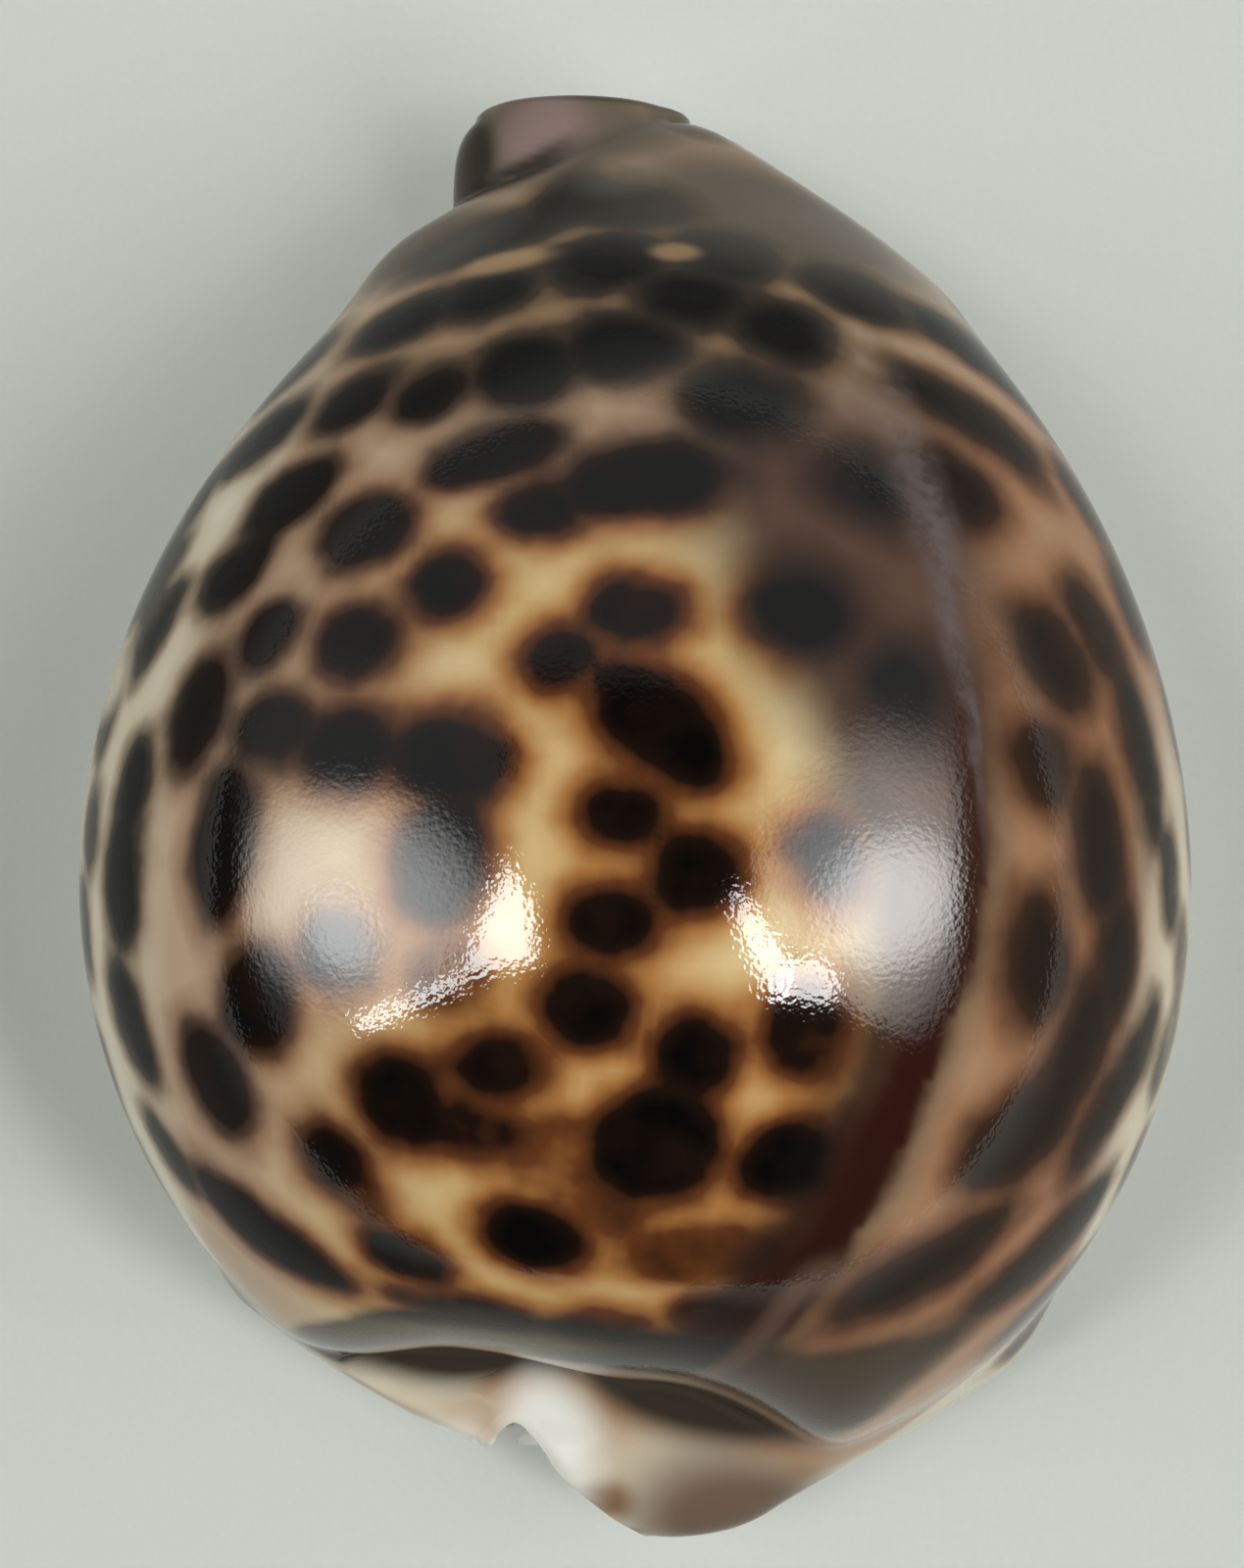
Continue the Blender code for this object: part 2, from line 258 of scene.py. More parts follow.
def outer_form(point):
    form = join(SPOUT_CREASE, body_form(point), rod(point, *SPOUT))
    form = cut(FRONT_EDGE, form, front_end(point))
    form = join(BACK_FILLET, form, rod(point, *LOBE), rod(point, *WEB), rod(point, *NUB))
    saddle = join(SADDLE_FILLET, rod(point, *SADDLE_LEFT), rod(point, *SADDLE_RIGHT))
    form = cut(SADDLE_EDGE, form, saddle)
    return cut(BASE_EDGE, form, point[..., 2] - base_z(point))


def hollow_form(point):
    form = cut(HOLLOW_FILLET, egg(point, WALL), point[..., 2] - SHELF_HEIGHT)
    form = cut(HOLLOW_FILLET, form, rod(point, *COLUMN))
    return join(CANAL_FILLET, form, rod(point, *FRONT_CANAL), rod(point, *BACK_CANAL))


def half_gap(y):
    """Half the width of the slit at its narrowest: wider in front, narrow in both canals."""
    along = HALF_GAP + (HALF_GAP_FRONT - HALF_GAP) * ease(*GAP_WIDENS_Y, y)
    return along + (HALF_GAP_ENDS - along) * ease(*GAP_NARROWS_Y, np.abs(y))


def lip_round(y):
    return LIP_ROUND + (LIP_ROUND_ENDS - LIP_ROUND) * ease(*LIP_THINS_Y, np.abs(y))


def lip_angle(y):
    """Angle, from straight down, at which a lip starts to round into the slit."""
    return np.arctan2(half_gap(y) + lip_round(y), axis_z(y) - LIP_HEIGHT)


def line_angle(y, line):
    """Angle of a line of the slab: close lines at both lips, even lines over the back."""
    first = lip_angle(y)
    middle_lines = LINES - 2 * LIP_LINES
    step = (2.0 * math.pi - 2.0 * first - 2 * LIP_LINES * LIP_LINE_ANGLE) / middle_lines
    in_lips = np.clip(line, 0, LIP_LINES) + np.clip(line - LINES + LIP_LINES, 0, LIP_LINES)
    return first + LIP_LINE_ANGLE * in_lips + step * np.clip(line - LIP_LINES, 0, middle_lines)


def window(rise, fall, angle):
    """1 between two angle ranges in degrees, and 0 outside them."""
    return ease(*np.radians(rise), angle) * (1.0 - ease(*np.radians(fall), angle))


def turn_back(y, angle):
    """How far the wall leans back at the back end, into the lobe and into the nub."""
    lobe = LOBE_TURN * window(LOBE_TURN_RISE, LOBE_TURN_FALL, angle)
    nub = NUB_TURN * window(NUB_TURN_RISE, NUB_TURN_FALL, angle)
    return (lobe + nub) * ease(-TURN_START_Y, -BACK_Y, -y)


def reach(form, origin, direction):
    """Distance along each ray to where it last leaves a form: step in, then close in on it."""
    low = np.zeros(len(origin))
    high = np.full(len(origin), MOST_REACH)
    low_value = -np.ones(len(origin))
    high_value = np.ones(len(origin))
    outside = np.arange(len(origin))
    for distance in np.linspace(MOST_REACH, 0.0, REACH_STEPS)[1:]:
        value = form(origin[outside] + distance * direction[outside])
        inside = value < 0.0
        low[outside[inside]] = distance
        low_value[outside[inside]] = value[inside]
        outside = outside[~inside]
        high[outside] = distance
        high_value[outside] = value[~inside]
    was_inside = np.zeros(len(origin), dtype=bool)
    for turn in range(REACH_CLOSINGS):
        middle = (low * high_value - high * low_value) / (high_value - low_value)
        value = form(origin + middle[:, None] * direction)
        inside = value < 0.0
        again = (inside == was_inside) & (turn > 0)
        kept = np.where(again, 0.5, 1.0)
        high_value = np.where(inside, high_value * kept, value)
        low_value = np.where(inside, value, low_value * kept)
        low = np.where(inside, middle, low)
        high = np.where(inside, high, middle)
        was_inside = inside
    return middle


def ray(y, line):
    """Origin and direction of the ray that crosses the wall at a place along and round it."""
    angle = line_angle(y, line)
    turn = turn_back(y, angle)
    origin = np.stack([slit_x(y), y, axis_z(y)], axis=-1)
    direction = [np.sin(angle) * np.cos(turn), -np.sin(turn), -np.cos(angle) * np.cos(turn)]
    return origin, np.stack(direction, axis=-1)


def spread_table():
    """Y of evenly spaced places along the back, for a set of lines round it."""
    sample_y = np.linspace(BACK_Y, FRONT_Y, LINE_SAMPLES)
    lines = np.linspace(0.0, LINES, SPREAD_LINES)
    y, line = np.meshgrid(sample_y, lines)
    origin, direction = ray(y.ravel(), line.ravel())
    points = origin + reach(outer_form, origin, direction)[:, None] * direction
    points = points.reshape(*y.shape, 3)
    steps = np.linalg.norm(np.diff(points, axis=1, prepend=points[:, :1]), axis=-1)
    runs = np.cumsum(steps, axis=1)
    shares = np.linspace(0.0, 1.0, LINE_SAMPLES)
    return np.array([np.interp(shares * run[-1], run, sample_y) for run in runs])


def between(table, across, along):
    """Value of a table between its rows and columns, at shares of its height and width."""
    across = across * (table.shape[0] - 1)
    along = along * (table.shape[1] - 1)
    row = np.minimum(across.astype(int), table.shape[0] - 2)
    column = np.minimum(along.astype(int), table.shape[1] - 2)
    across -= row
    along -= column
    first = table[row, column] * (1.0 - along) + table[row, column + 1] * along
    second = table[row + 1, column] * (1.0 - along) + table[row + 1, column + 1] * along
    return first * (1.0 - across) + second * across


def even_stations(station, line):
    """Y of each station: straight across both lips, and evenly spaced over the back."""
    y = between(spread_table(), line / LINES, station / STATIONS)
    straight = BACK_Y + (FRONT_Y - BACK_Y) * station / STATIONS
    from_lip = np.minimum(line, LINES - line)
    return straight + (y - straight) * ease(*EVEN_FROM_LINES, from_lip)


def tooth(station, line):
    """Height of the teeth: one ridge for each station, fading out over each lip."""
    count = station - STATIONS_PAST_TEETH
    ridge = np.where((count > 0) & (count < TEETH), np.sin(math.pi * count) ** 2, 0.0)
    ends = ease(0.0, TOOTH_ROW_FADE, count) * ease(0.0, TOOTH_ROW_FADE, TEETH - count)
    outer_lip = 1.0 - ease(*OUTER_TOOTH_FADE, line)
    inner_lip = 1.0 - ease(*INNER_TOOTH_FADE, LINES - line)
    return TOOTH_HEIGHT * ridge * ends * np.maximum(outer_lip, inner_lip)


def shell_points(station, line, depth):
    """Points of the slab on the shell. Depth is 1 on the outside and -1 in the hollow."""
    y = even_stations(station, line)
    origin, direction = ray(y, line)
    outside = reach(outer_form, origin, direction)
    inside = outside - THINNEST_WALL
    inner = depth < 1.0
    hollow = reach(hollow_form, origin[inner], direction[inner])
    inside[inner] = np.minimum(hollow, inside[inner])
    edge = np.sqrt(np.clip(1.0 - depth * depth, 0.0, 1.0))
    at_lip = np.where(line < 0.5, -1.0, 1.0) * edge * ((line == 0) | (line == LINES))
    at_end = edge * ((station == 0) | (station == STATIONS))
    ridge = tooth(station, line) * ease(-1.0, 0.0, depth)
    radius = inside + (outside - inside) * (depth + 1.0) / 2.0 + ridge * np.clip(depth, 0.0, 1.0)
    points = origin + radius[:, None] * direction
    points[:, 0] += at_lip * (lip_round(y) + ridge)
    backwards = np.stack([np.zeros_like(y), -np.ones_like(y), np.zeros_like(y)], axis=-1)
    lean = backwards - (backwards * direction).sum(axis=-1, keepdims=True) * direction
    lean /= np.linalg.norm(lean, axis=-1, keepdims=True)
    points += np.where(station == 0, 1.0, -1.0)[:, None] * at_end[:, None] * END_ROUND * lean
    points[:, 2] = np.maximum(points[:, 2], REST_TRIM) - REST_TRIM
    return points


def subdivide(slab, cuts, chosen):
    """Cut the chosen edges of the slab into equal parts."""
    edges = []
    for edge in slab.edges:
        run = edge.verts[1].co - edge.verts[0].co
        middle = (edge.verts[0].co + edge.verts[1].co) / 2.0
        if chosen(run / run.length, middle):
            edges.append(edge)
    bmesh.ops.subdivide_edges(slab, edges=edges, cuts=cuts, use_grid_fill=True)


def slab_of_shell():
    """A flat block cut along, round and through, with its outer face cut finer."""
    slab = bmesh.new()
    bmesh.ops.create_cube(slab, size=2.0)
    subdivide(slab, CUTS_ALONG - 1, lambda way, middle: abs(way.x) > 0.5)
    subdivide(slab, CUTS_ROUND - 1, lambda way, middle: abs(way.y) > 0.5)
    subdivide(slab, CUTS_THROUGH - 1, lambda way, middle: abs(way.z) > 0.5)
    subdivide(slab, FINE_CUTS, lambda way, middle: abs(way.z) < 0.5 and middle.z > FINE_ABOVE)
    return slab


def line_of(share):
    """Line of the wall at a share of the way round: a tenth of the mesh for each lip."""
    shares = [0.0, LIP_SHARE, 1.0 - LIP_SHARE, 1.0]
    return np.interp(share, shares, [0.0, LIP_LINES, LINES - LIP_LINES, LINES])


def roll(slab):
    """Move every vertex of the flat slab to its place on the shell: the places and depths."""
    flat = np.array([vertex.co for vertex in slab.verts])
    station = np.round((flat[:, 0] + 1.0) / 2.0 * STATIONS, ROUNDING)
    line = np.round(line_of((flat[:, 1] + 1.0) / 2.0), ROUNDING)
    depth = np.sin(math.pi / 2.0 * np.round(flat[:, 2], ROUNDING))
    places = shell_points(station, line, depth)
    for vertex, place in zip(slab.verts, places):
        vertex.co = place * MM
    bmesh.ops.recalc_face_normals(slab, faces=slab.faces)
    return places, depth


# ---------------------------------------------------------------- markings

# Blotches: place along the shell, angle from the crown (plus is the outer-lip side), length,
# width, turn of the length from straight across, and depth of colour.
FRONT_BLOTCHES = (
    (28.6, -28, 3.9, 3.4, 45, 1.0),
    (27.1, -46, 4.7, 3.0, 37, 0.95),
    (23.9, -19.5, 5.1, 4.7, 90, 1.0),
    (25.1, -4, 5.4, 4.7, 0, 1.0),
    (22.5, -47, 4.9, 3.7, 40, 1.0),
    (22.7, -34, 4.0, 3.7, 45, 1.0),
    (19.0, -23, 6.6, 3.4, 22, 1.0),
    (20.9, -64, 5.6, 3.3, 35, 0.85),
    (17.0, -51, 5.6, 3.8, 42, 0.95),
    (15.0, -38, 5.8, 4.7, 10, 1.0),
    (15.8, -16.5, 4.2, 3.8, 0, 1.0),
    (12.2, -25.5, 4.5, 3.9, 0, 1.0),
    (13.3, -54.5, 5.2, 3.6, 50, 0.95),
    (10.4, -67, 5.0, 2.8, 70, 0.8),
    (13.6, -77, 5.0, 2.6, 70, 0.75),
    (32.5, -37, 7.0, 2.6, 25, 0.75),
    (30.5, -5, 5.0, 4.6, 0, 0.95),
    (34.6, -10, 3.5, 3.0, 0, 0.6),
    (28.1, 9.5, 4.4, 4.2, 0, 1.0),
    (30.9, 21, 4.0, 3.6, 0, 0.85),
    (34.3, 6, 4.5, 3.0, 0, 0.6),
    (26.2, 23.5, 4.0, 4.2, 0, 0.85),
    (22.0, 12, 5.0, 4.8, 0, 1.0),
    (17.4, -3.8, 8.0, 4.9, 10, 1.0),
    (17.3, 26, 4.0, 3.6, 0, 0.8),
    (17.4, 40, 3.8, 3.4, 0, 0.7),
    (21.8, 50, 8.4, 2.6, -38, 0.85),
    (28.8, 44, 4.5, 3.0, -40, 0.6),
    (25.5, 68, 9.0, 2.4, -45, 0.6),
)
MIDDLE_BLOTCHES = (
    (10.7, -5.2, 5.0, 4.2, 0, 1.0),
    (10.7, 12.8, 5.3, 4.9, 0, 1.0),
    (8.5, -13, 3.7, 3.4, 0, 1.0),
    (5.1, -3, 8.4, 5.0, -50, 1.0),
    (6.8, 22.7, 4.3, 4.0, 0, 0.95),
    (9.3, -34.7, 4.6, 4.0, 0, 1.0),
    (9.6, -46, 4.2, 3.2, 70, 0.95),
    (5.8, -52.5, 6.0, 4.2, 80, 0.95),
    (5.0, -42, 4.6, 3.4, 0, 0.95),
    (3.9, -33, 4.8, 3.8, 0, 0.95),
    (3.4, -22.5, 6.3, 4.6, 0, 1.0),
    (-1.5, -22, 6.0, 4.6, 90, 0.9),
    (-1.0, -45.5, 7.6, 3.6, 90, 1.0),
    (2.0, -61, 4.8, 3.0, 90, 0.85),
    (-2.9, -61.5, 6.4, 3.3, 90, 0.85),
    (-10.5, -61, 6.0, 3.2, 110, 0.85),
    (-8.5, -40, 5.0, 4.4, 60, 0.9),
    (-6.3, -31, 3.8, 3.3, 0, 0.85),
    (0.6, -6.4, 4.0, 3.7, 0, 1.0),
    (-4.5, -6.5, 4.8, 3.9, 10, 1.0),
    (-8.5, -7.4, 5.0, 4.3, -10, 1.0),
    (-7.3, -20, 3.4, 2.4, 0, 0.5),
    (-1.5, 12.8, 4.3, 3.6, 90, 1.0),
    (-2.2, 0.9, 4.7, 4.3, 0, 1.0),
    (8.7, 45.6, 4.3, 3.8, 90, 0.75),
    (3.1, 38.7, 2.9, 2.7, 90, 0.65),
    (10.2, 56, 4.0, 2.8, 110, 0.7),
    (3.5, 59, 9.0, 2.8, 90, 0.85),
    (-1.0, 47, 6.2, 3.0, 90, 0.8),
    (-3.0, 63.5, 4.8, 2.4, 90, 0.7),
    (-6.6, 37.5, 5.2, 2.8, 90, 0.9),
    (-7.0, 50.5, 5.2, 2.6, 90, 0.8),
)
BACK_BLOTCHES = (
    (-11.6, -14.2, 4.4, 3.5, 0, 0.85),
    (-13.6, -23.3, 5.2, 4.7, -45, 1.0),
    (-14.9, -15.8, 4.8, 2.9, -15, 0.75),
    (-16.7, -30, 4.0, 3.7, -50, 1.0),
    (-18.3, -27, 3.6, 2.4, -40, 0.6),
    (-13.0, -46.5, 6.0, 4.4, 125, 0.9),
    (-21.4, -40, 10.5, 3.8, -40, 0.95),
    (-17.5, -58, 4.0, 2.2, 115, 0.7),
    (-20.3, -7.6, 5.2, 4.2, -10, 1.0),
    (-21.8, -20, 4.8, 3.4, -30, 0.85),
    (-24.5, -14, 7.0, 2.4, -10, 0.7),
    (-15.6, 1.3, 6.8, 6.1, 0, 1.0),
    (-10.9, 3.2, 4.3, 4.0, 0, 1.0),
    (-10.0, 13, 4.8, 4.6, 90, 1.0),
    (-11.5, 46, 7.0, 3.0, 70, 0.85),
    (-11.5, 60.5, 5.0, 2.6, 75, 0.75),
    (-16.2, 14, 4.9, 4.5, 0, 1.0),
    (-21.2, 9, 7.0, 2.6, 5, 0.42),
    (-15.9, -8, 4.4, 3.4, 0, 0.5),
    (-12.2, -17.5, 3.6, 3.0, 20, 0.5),
    (-18.4, -2.5, 4.0, 2.6, 10, 0.45),
    (-24.6, 13.5, 5.0, 3.2, 5, 0.7),
    (-25.2, 3, 4.6, 2.6, 0, 0.72),
    (-15.8, 40, 6.6, 4.2, 35, 0.9),
    (-22.4, 34, 9.4, 3.0, 36, 0.9),
    (-14.0, 56, 8.0, 3.0, 55, 0.75),
    (-22.5, 53, 10.0, 3.0, 45, 0.8),
    (-26.0, 66, 7.0, 3.2, 60, 0.65),
    (-24.0, 84, 4.6, 3.2, 90, 0.55),
    (-29.0, 78, 4.0, 2.8, 90, 0.45),
    (-26.0, -66, 6.4, 3.4, 120, 0.7),
    (-24.0, -84, 4.6, 3.2, 90, 0.55),
    (-28.5, -80, 3.8, 2.6, 90, 0.45),
)

# Small blotches low on both flanks, where the colour runs out into the white base.
FLANK_ROW_ANGLES = (74.0, 88.0)
FLANK_ROW_FROM = -19.0
FLANK_ROW_TO = 30.0
FLANK_ROW_STEP = 6.2
FLANK_ROW_LENGTH = 4.2
FLANK_ROW_WIDTH = 2.6
FLANK_ROW_DEPTH = 0.55
FLANK_ROW_WANDER = 1.0
FLANK_ROW_TILT = 4.0
FLANK_ROW_SCALES = (0.8, 1.2)
FLANK_ROW_TURN = 90.0
FLANK_ROW_SWING = 25.0
FLANK_SEED = 11

# Mantle line: where the two flaps of the animal met over the back. Place along and angle of
# each of its turns, and the number of points that lay it on the curved back.
MANTLE_LINE = (
    (37.5, 13.0), (35.0, 24.5), (30.0, 31.0), (24.0, 36.0), (19.0, 35.0),
    (10.0, 31.0), (-4.0, 29.0), (-20.0, 23.0), (-27.5, 18.5), (-29.0, 13.0),
)
MANTLE_POINTS = 40

BLOTCH_BLEND = 0.35
BLOTCH_FARTHEST = 6.0
DEEPEST = -1.0
FAINTEST = 1.4
FLOOR_BLEND = 0.2
MANTLE_FARTHEST = 20.0
NORMAL_STEP = 0.05


def outer_slope(point):
    """Direction in which the outer form rises fastest: its normal, for points on it."""
    slope = []
    for step in NORMAL_STEP * np.eye(3):
        slope.append(outer_form(point + step) - outer_form(point - step))
    normal = np.stack(slope, axis=-1)
    return normal / np.linalg.norm(normal, axis=-1, keepdims=True)


def surface_frames(along, angle):
    """Points on the outside, their normals, and the directions across and along there."""
    turn = np.radians(angle)
    level = np.zeros_like(along)
    origin = np.stack([slit_x(along), along, axis_z(along)], axis=-1)
    direction = np.stack([np.sin(turn), level, np.cos(turn)], axis=-1)
    point = origin + reach(outer_form, origin, direction)[:, None] * direction
    normal = outer_slope(point)
    across = np.cross([0.0, 1.0, 0.0], normal)
    across /= np.linalg.norm(across, axis=-1, keepdims=True)
    return point, normal, across, np.cross(normal, across)


def flank_rows():
    """Rows of small blotches low on both flanks."""
    chance = np.random.default_rng(FLANK_SEED)
    rows = []
    for side in (-1.0, 1.0):
        for row, angle in enumerate(FLANK_ROW_ANGLES):
            along = FLANK_ROW_FROM + row * FLANK_ROW_STEP / 2.0
            while along < FLANK_ROW_TO:
                place = along + chance.uniform(-FLANK_ROW_WANDER, FLANK_ROW_WANDER)
                turned = side * (angle + chance.uniform(-FLANK_ROW_TILT, FLANK_ROW_TILT))
                scale = chance.uniform(*FLANK_ROW_SCALES)
                turn = FLANK_ROW_TURN + chance.uniform(-FLANK_ROW_SWING, FLANK_ROW_SWING)
                size = (FLANK_ROW_LENGTH * scale, FLANK_ROW_WIDTH * scale)
                rows.append((place, turned, *size, turn, FLANK_ROW_DEPTH))
                along += FLANK_ROW_STEP
    return rows


def blotch_field(points):
    """Distance to the nearest blotch: low in the middle of a deep one, less low in a faint one."""
    blotches = FRONT_BLOTCHES + MIDDLE_BLOTCHES + BACK_BLOTCHES + tuple(flank_rows())
    columns = np.array(blotches).T
    frames = surface_frames(columns[0], columns[1])
    total = np.full(len(points), math.exp(-BLOTCH_FARTHEST / BLOTCH_BLEND))
    for blotch, centre, normal, across, onward in zip(blotches, *frames):
        _, _, length, width, turn, depth = blotch
        offset = points - centre
        cosine = math.cos(math.radians(turn))
        sine = math.sin(math.radians(turn))
        a = offset @ (across * cosine + onward * sine) / (length / 2.0)
        b = offset @ (onward * cosine - across * sine) / (width / 2.0)
        c = offset @ normal / width
        size = np.sqrt(a * a + b * b + c * c)
        slope = np.sqrt((2.0 * a / length) ** 2 + (2.0 * b / width) ** 2 + (c / width) ** 2)
        distance = np.clip(size * (size - 1.0) / (slope + 1e-9), DEEPEST, BLOTCH_FARTHEST)
        floor = DEEPEST + (FAINTEST - DEEPEST) * (1.0 - depth)
        distance = FLOOR_BLEND * np.logaddexp(distance / FLOOR_BLEND, floor / FLOOR_BLEND)
        total += np.exp(-distance / BLOTCH_BLEND)
    return -BLOTCH_BLEND * np.log(total)


def mantle_field(points):
    """Signed distance from the mantle line: plus on the outer-lip side."""
    turns, angles = np.array(MANTLE_LINE).T
    along = np.linspace(turns[0], turns[-1], MANTLE_POINTS)
    path = surface_frames(along, np.interp(-along, -turns, angles))[0]
    nearest = np.full(len(points), np.inf)
    signed = np.zeros(len(points))
    for start, end in zip(path[:-1], path[1:]):
        run = end - start
        t = np.clip((points - start) @ run / (run @ run), 0.0, 1.0)
        offset = points - start - t[:, None] * run
        distance = np.linalg.norm(offset, axis=-1)
        side = np.sign(offset[:, 0] * -run[1] + offset[:, 1] * run[0])
        closer = distance < nearest
        nearest = np.where(closer, distance, nearest)
        signed = np.where(closer, distance * side, signed)
    return np.clip(signed, -MANTLE_FARTHEST, MANTLE_FARTHEST)


def patch(points, centre, radii):
    """A soft patch of glaze: 1 at its centre and 0 outside its radii."""
    size = np.linalg.norm((points - np.array(centre)) / np.array(radii), axis=-1)
    return 1.0 - ease(*PATCH_FADE, size)


def strongest(points, patches):
    total = np.zeros(len(points))
    for centre, radii in patches:
        total = np.maximum(total, patch(points, centre, radii))
    return total


def fold_height(x):
    """Height of the fold at each place across: a wave with the given turns."""
    height = np.full(len(x), FOLD_TURNS[0][1])
    for (start_x, start), (end_x, end) in zip(FOLD_TURNS[:-1], FOLD_TURNS[1:]):
        height += (end - start) * ease(start_x, end_x, x)
    return height


def line_on_fold(points, reach, width):
    """1 along the fold between two places across, and 0 outside the line's width."""
    x, y, z = points.T
    rise = (fold_height(x + FOLD_STEP) - fold_height(x - FOLD_STEP)) / (2.0 * FOLD_STEP)
    away = np.abs(z - fold_height(x)) / np.hypot(1.0, rise)
    started = ease(reach[0] - LINE_END, reach[0] + LINE_END, x)
    ended = ease(reach[1] - LINE_END, reach[1] + LINE_END, x)
    return (1.0 - ease(*width, away)) * started * (1.0 - ended) * (1.0 - ease(*FOLD_Y, y))


def spout_crease_shade(points):
    """Painted shade: 1 along the crease where the spout comes out of the body, on the inner-lip side."""
    apart = np.maximum(body_form(points), rod(points, *SPOUT))
    return (1.0 - ease(*CREASE_SHADE_WIDTH, apart)) * (1.0 - ease(*CREASE_SHADE_X, points[:, 0]))


def shaded_back_face(points, normal):
    """1 on the steep face of the back end, where it is darkened with painted shade, and 0 off it."""
    x, _, z = points.T
    facing = FACE_LEAN * np.maximum(normal[:, 0], 0.0) - normal[:, 1]
    return ease(*FACE_FACING, facing) * ease(*FACE_HEIGHTS, z - FACE_RISE * np.maximum(x, 0.0))


def crown_angle(points):
    """Angle in degrees of each point from straight up, seen from the rolled line."""
    x, y, z = points.T
    return np.degrees(np.arctan2(x - slit_x(y), z - axis_z(y)))


# Soft patches on the ends and flanks, each named for its colour or for the painted light that it stands
# for: centre and radii.
# A patch is full up to the first share of its radii and gone at the second.
PATCH_FADE = (0.35, 1.0)
WHITE_PATCHES = (
    ((-4.6, -36.3, 8.5), (4.8, 6.3, 8.0)),
    ((-10.5, -36.5, 8.0), (4.0, 3.0, 5.0)),
    ((6.0, -45.0, 4.0), (12.0, 4.0, 6.0)),
    ((19.0, -36.0, 6.0), (12.0, 6.5, 8.0)),
)
# Painted sheen in the spout's rosy tint, on the rounded top of the spout.
ROSE_SHEEN_PATCHES = (
    ((-5.3, 39.5, 15.0), (3.8, 4.0, 4.0)),
)
# Painted shade: brown darkening below the back fold, over the lobe and over the nub.
SHADE_PATCHES = (
    ((4.5, -30.5, 17.0), (12.0, 8.5, 9.0)),
    ((-9.3, -28.5, 13.0), (12.0, 6.5, 8.0)),
)
TAUPE_PATCHES = (
    ((5.5, -40.0, 10.0), (8.5, 6.5, 8.5)),
)
HONEY_PATCHES = (
    ((-7.6, 30.7, 23.8), (5.4, 1.6, 2.5)),
    ((2.2, 31.0, 25.3), (2.2, 1.2, 2.5)),
)
RUST_PATCHES = (
    ((-1.5, -39.5, 10.0), (2.6, 2.2, 4.0)),
)
UMBER_PATCHES = (
    ((-10.0, 38.0, 9.0), (4.2, 6.0, 9.0)),
    ((-2.0, 43.0, 12.0), (12.0, 2.6, 8.0)),
)
CREAM_PATCHES = (
    ((-28.6, 7.6, 23.0), (3.4, 3.0, 8.0)),
    ((14.0, -34.5, 8.0), (15.0, 8.0, 7.5)),
    ((-13.0, -35.0, 9.0), (8.0, 4.5, 4.5)),
    ((3.0, -38.0, 11.0), (9.0, 5.5, 6.0)),
)
DUSKY_PATCHES = (
    ((9.0, 34.5, 19.0), (17.0, 9.5, 13.0)),
    ((-4.0, 39.0, 14.0), (12.0, 6.5, 8.5)),
    ((-12.0, 32.5, 17.0), (9.0, 5.5, 7.0)),
    ((3.5, 41.0, 13.0), (6.0, 3.5, 6.0)),
)

# Fold at the back end: the places across and the heights where it turns, and how far forward
# it is looked for. A thin pale line, a painted highlight of the fold's edge, runs along its left
# part, and a tan seam up its right part: where each starts and ends across, and its full width and end.
FOLD_TURNS = ((-18.0, 19.0), (-7.0, 33.0), (0.0, 27.5), (9.0, 41.0))
FOLD_Y = (-22.0, -20.5)
FOLD_STEP = 0.1
FOLD_HIGHLIGHT_REACH = (-15.5, 2.6)
FOLD_HIGHLIGHT_WIDTH = (0.1, 0.5)
SEAM_REACH = (2.6, 10.3)
SEAM_WIDTH = (0.2, 1.2)
LINE_END = 0.5

# Painted shade in the crease beside the spout: how far apart its two forms are, and where it fades out.
CREASE_SHADE_WIDTH = (0.2, 0.9)
CREASE_SHADE_X = (-5.5, -2.0)

# Painted shade on the steep face of the back end: which way it faces, how far it reaches to the
# right, its lower edge, and how that edge rises to the right.
FACE_FACING = (0.77, 0.90)
FACE_LEAN = 0.3
FACE_HEIGHTS = (6.0, 17.0)
FACE_RISE = 1.1
BASE_ANGLES = (88.0, 112.0)
FLANK_ANGLES = (14.0, 50.0)
MARGIN_ANGLES = (42.0, 66.0)
MARGIN_Y = (-30.0, -16.0)
MARGIN_HEIGHTS = (10.5, 14.0)
MARGIN_RISE = 1.3
MARGIN_RISE_X = 14.0
DARK_MARGIN_X = (0.0, 12.0)
DARK_MARGIN_Y = (-6.0, 14.0)
DARK_MARGIN = 0.75
FRONT_DUSK_Y = (8.0, 36.0)
FRONT_SPREAD = 0.4
FLANK_SPREAD = 0.35
SATIN_SLOPES = (0.82, 0.64)
SATIN_FRONT_Y = (35.5, 38.0)
SATIN_BACK_Y = (-31.5, -28.0)
SATIN_BACK_HEIGHTS = (15.0, 19.0)


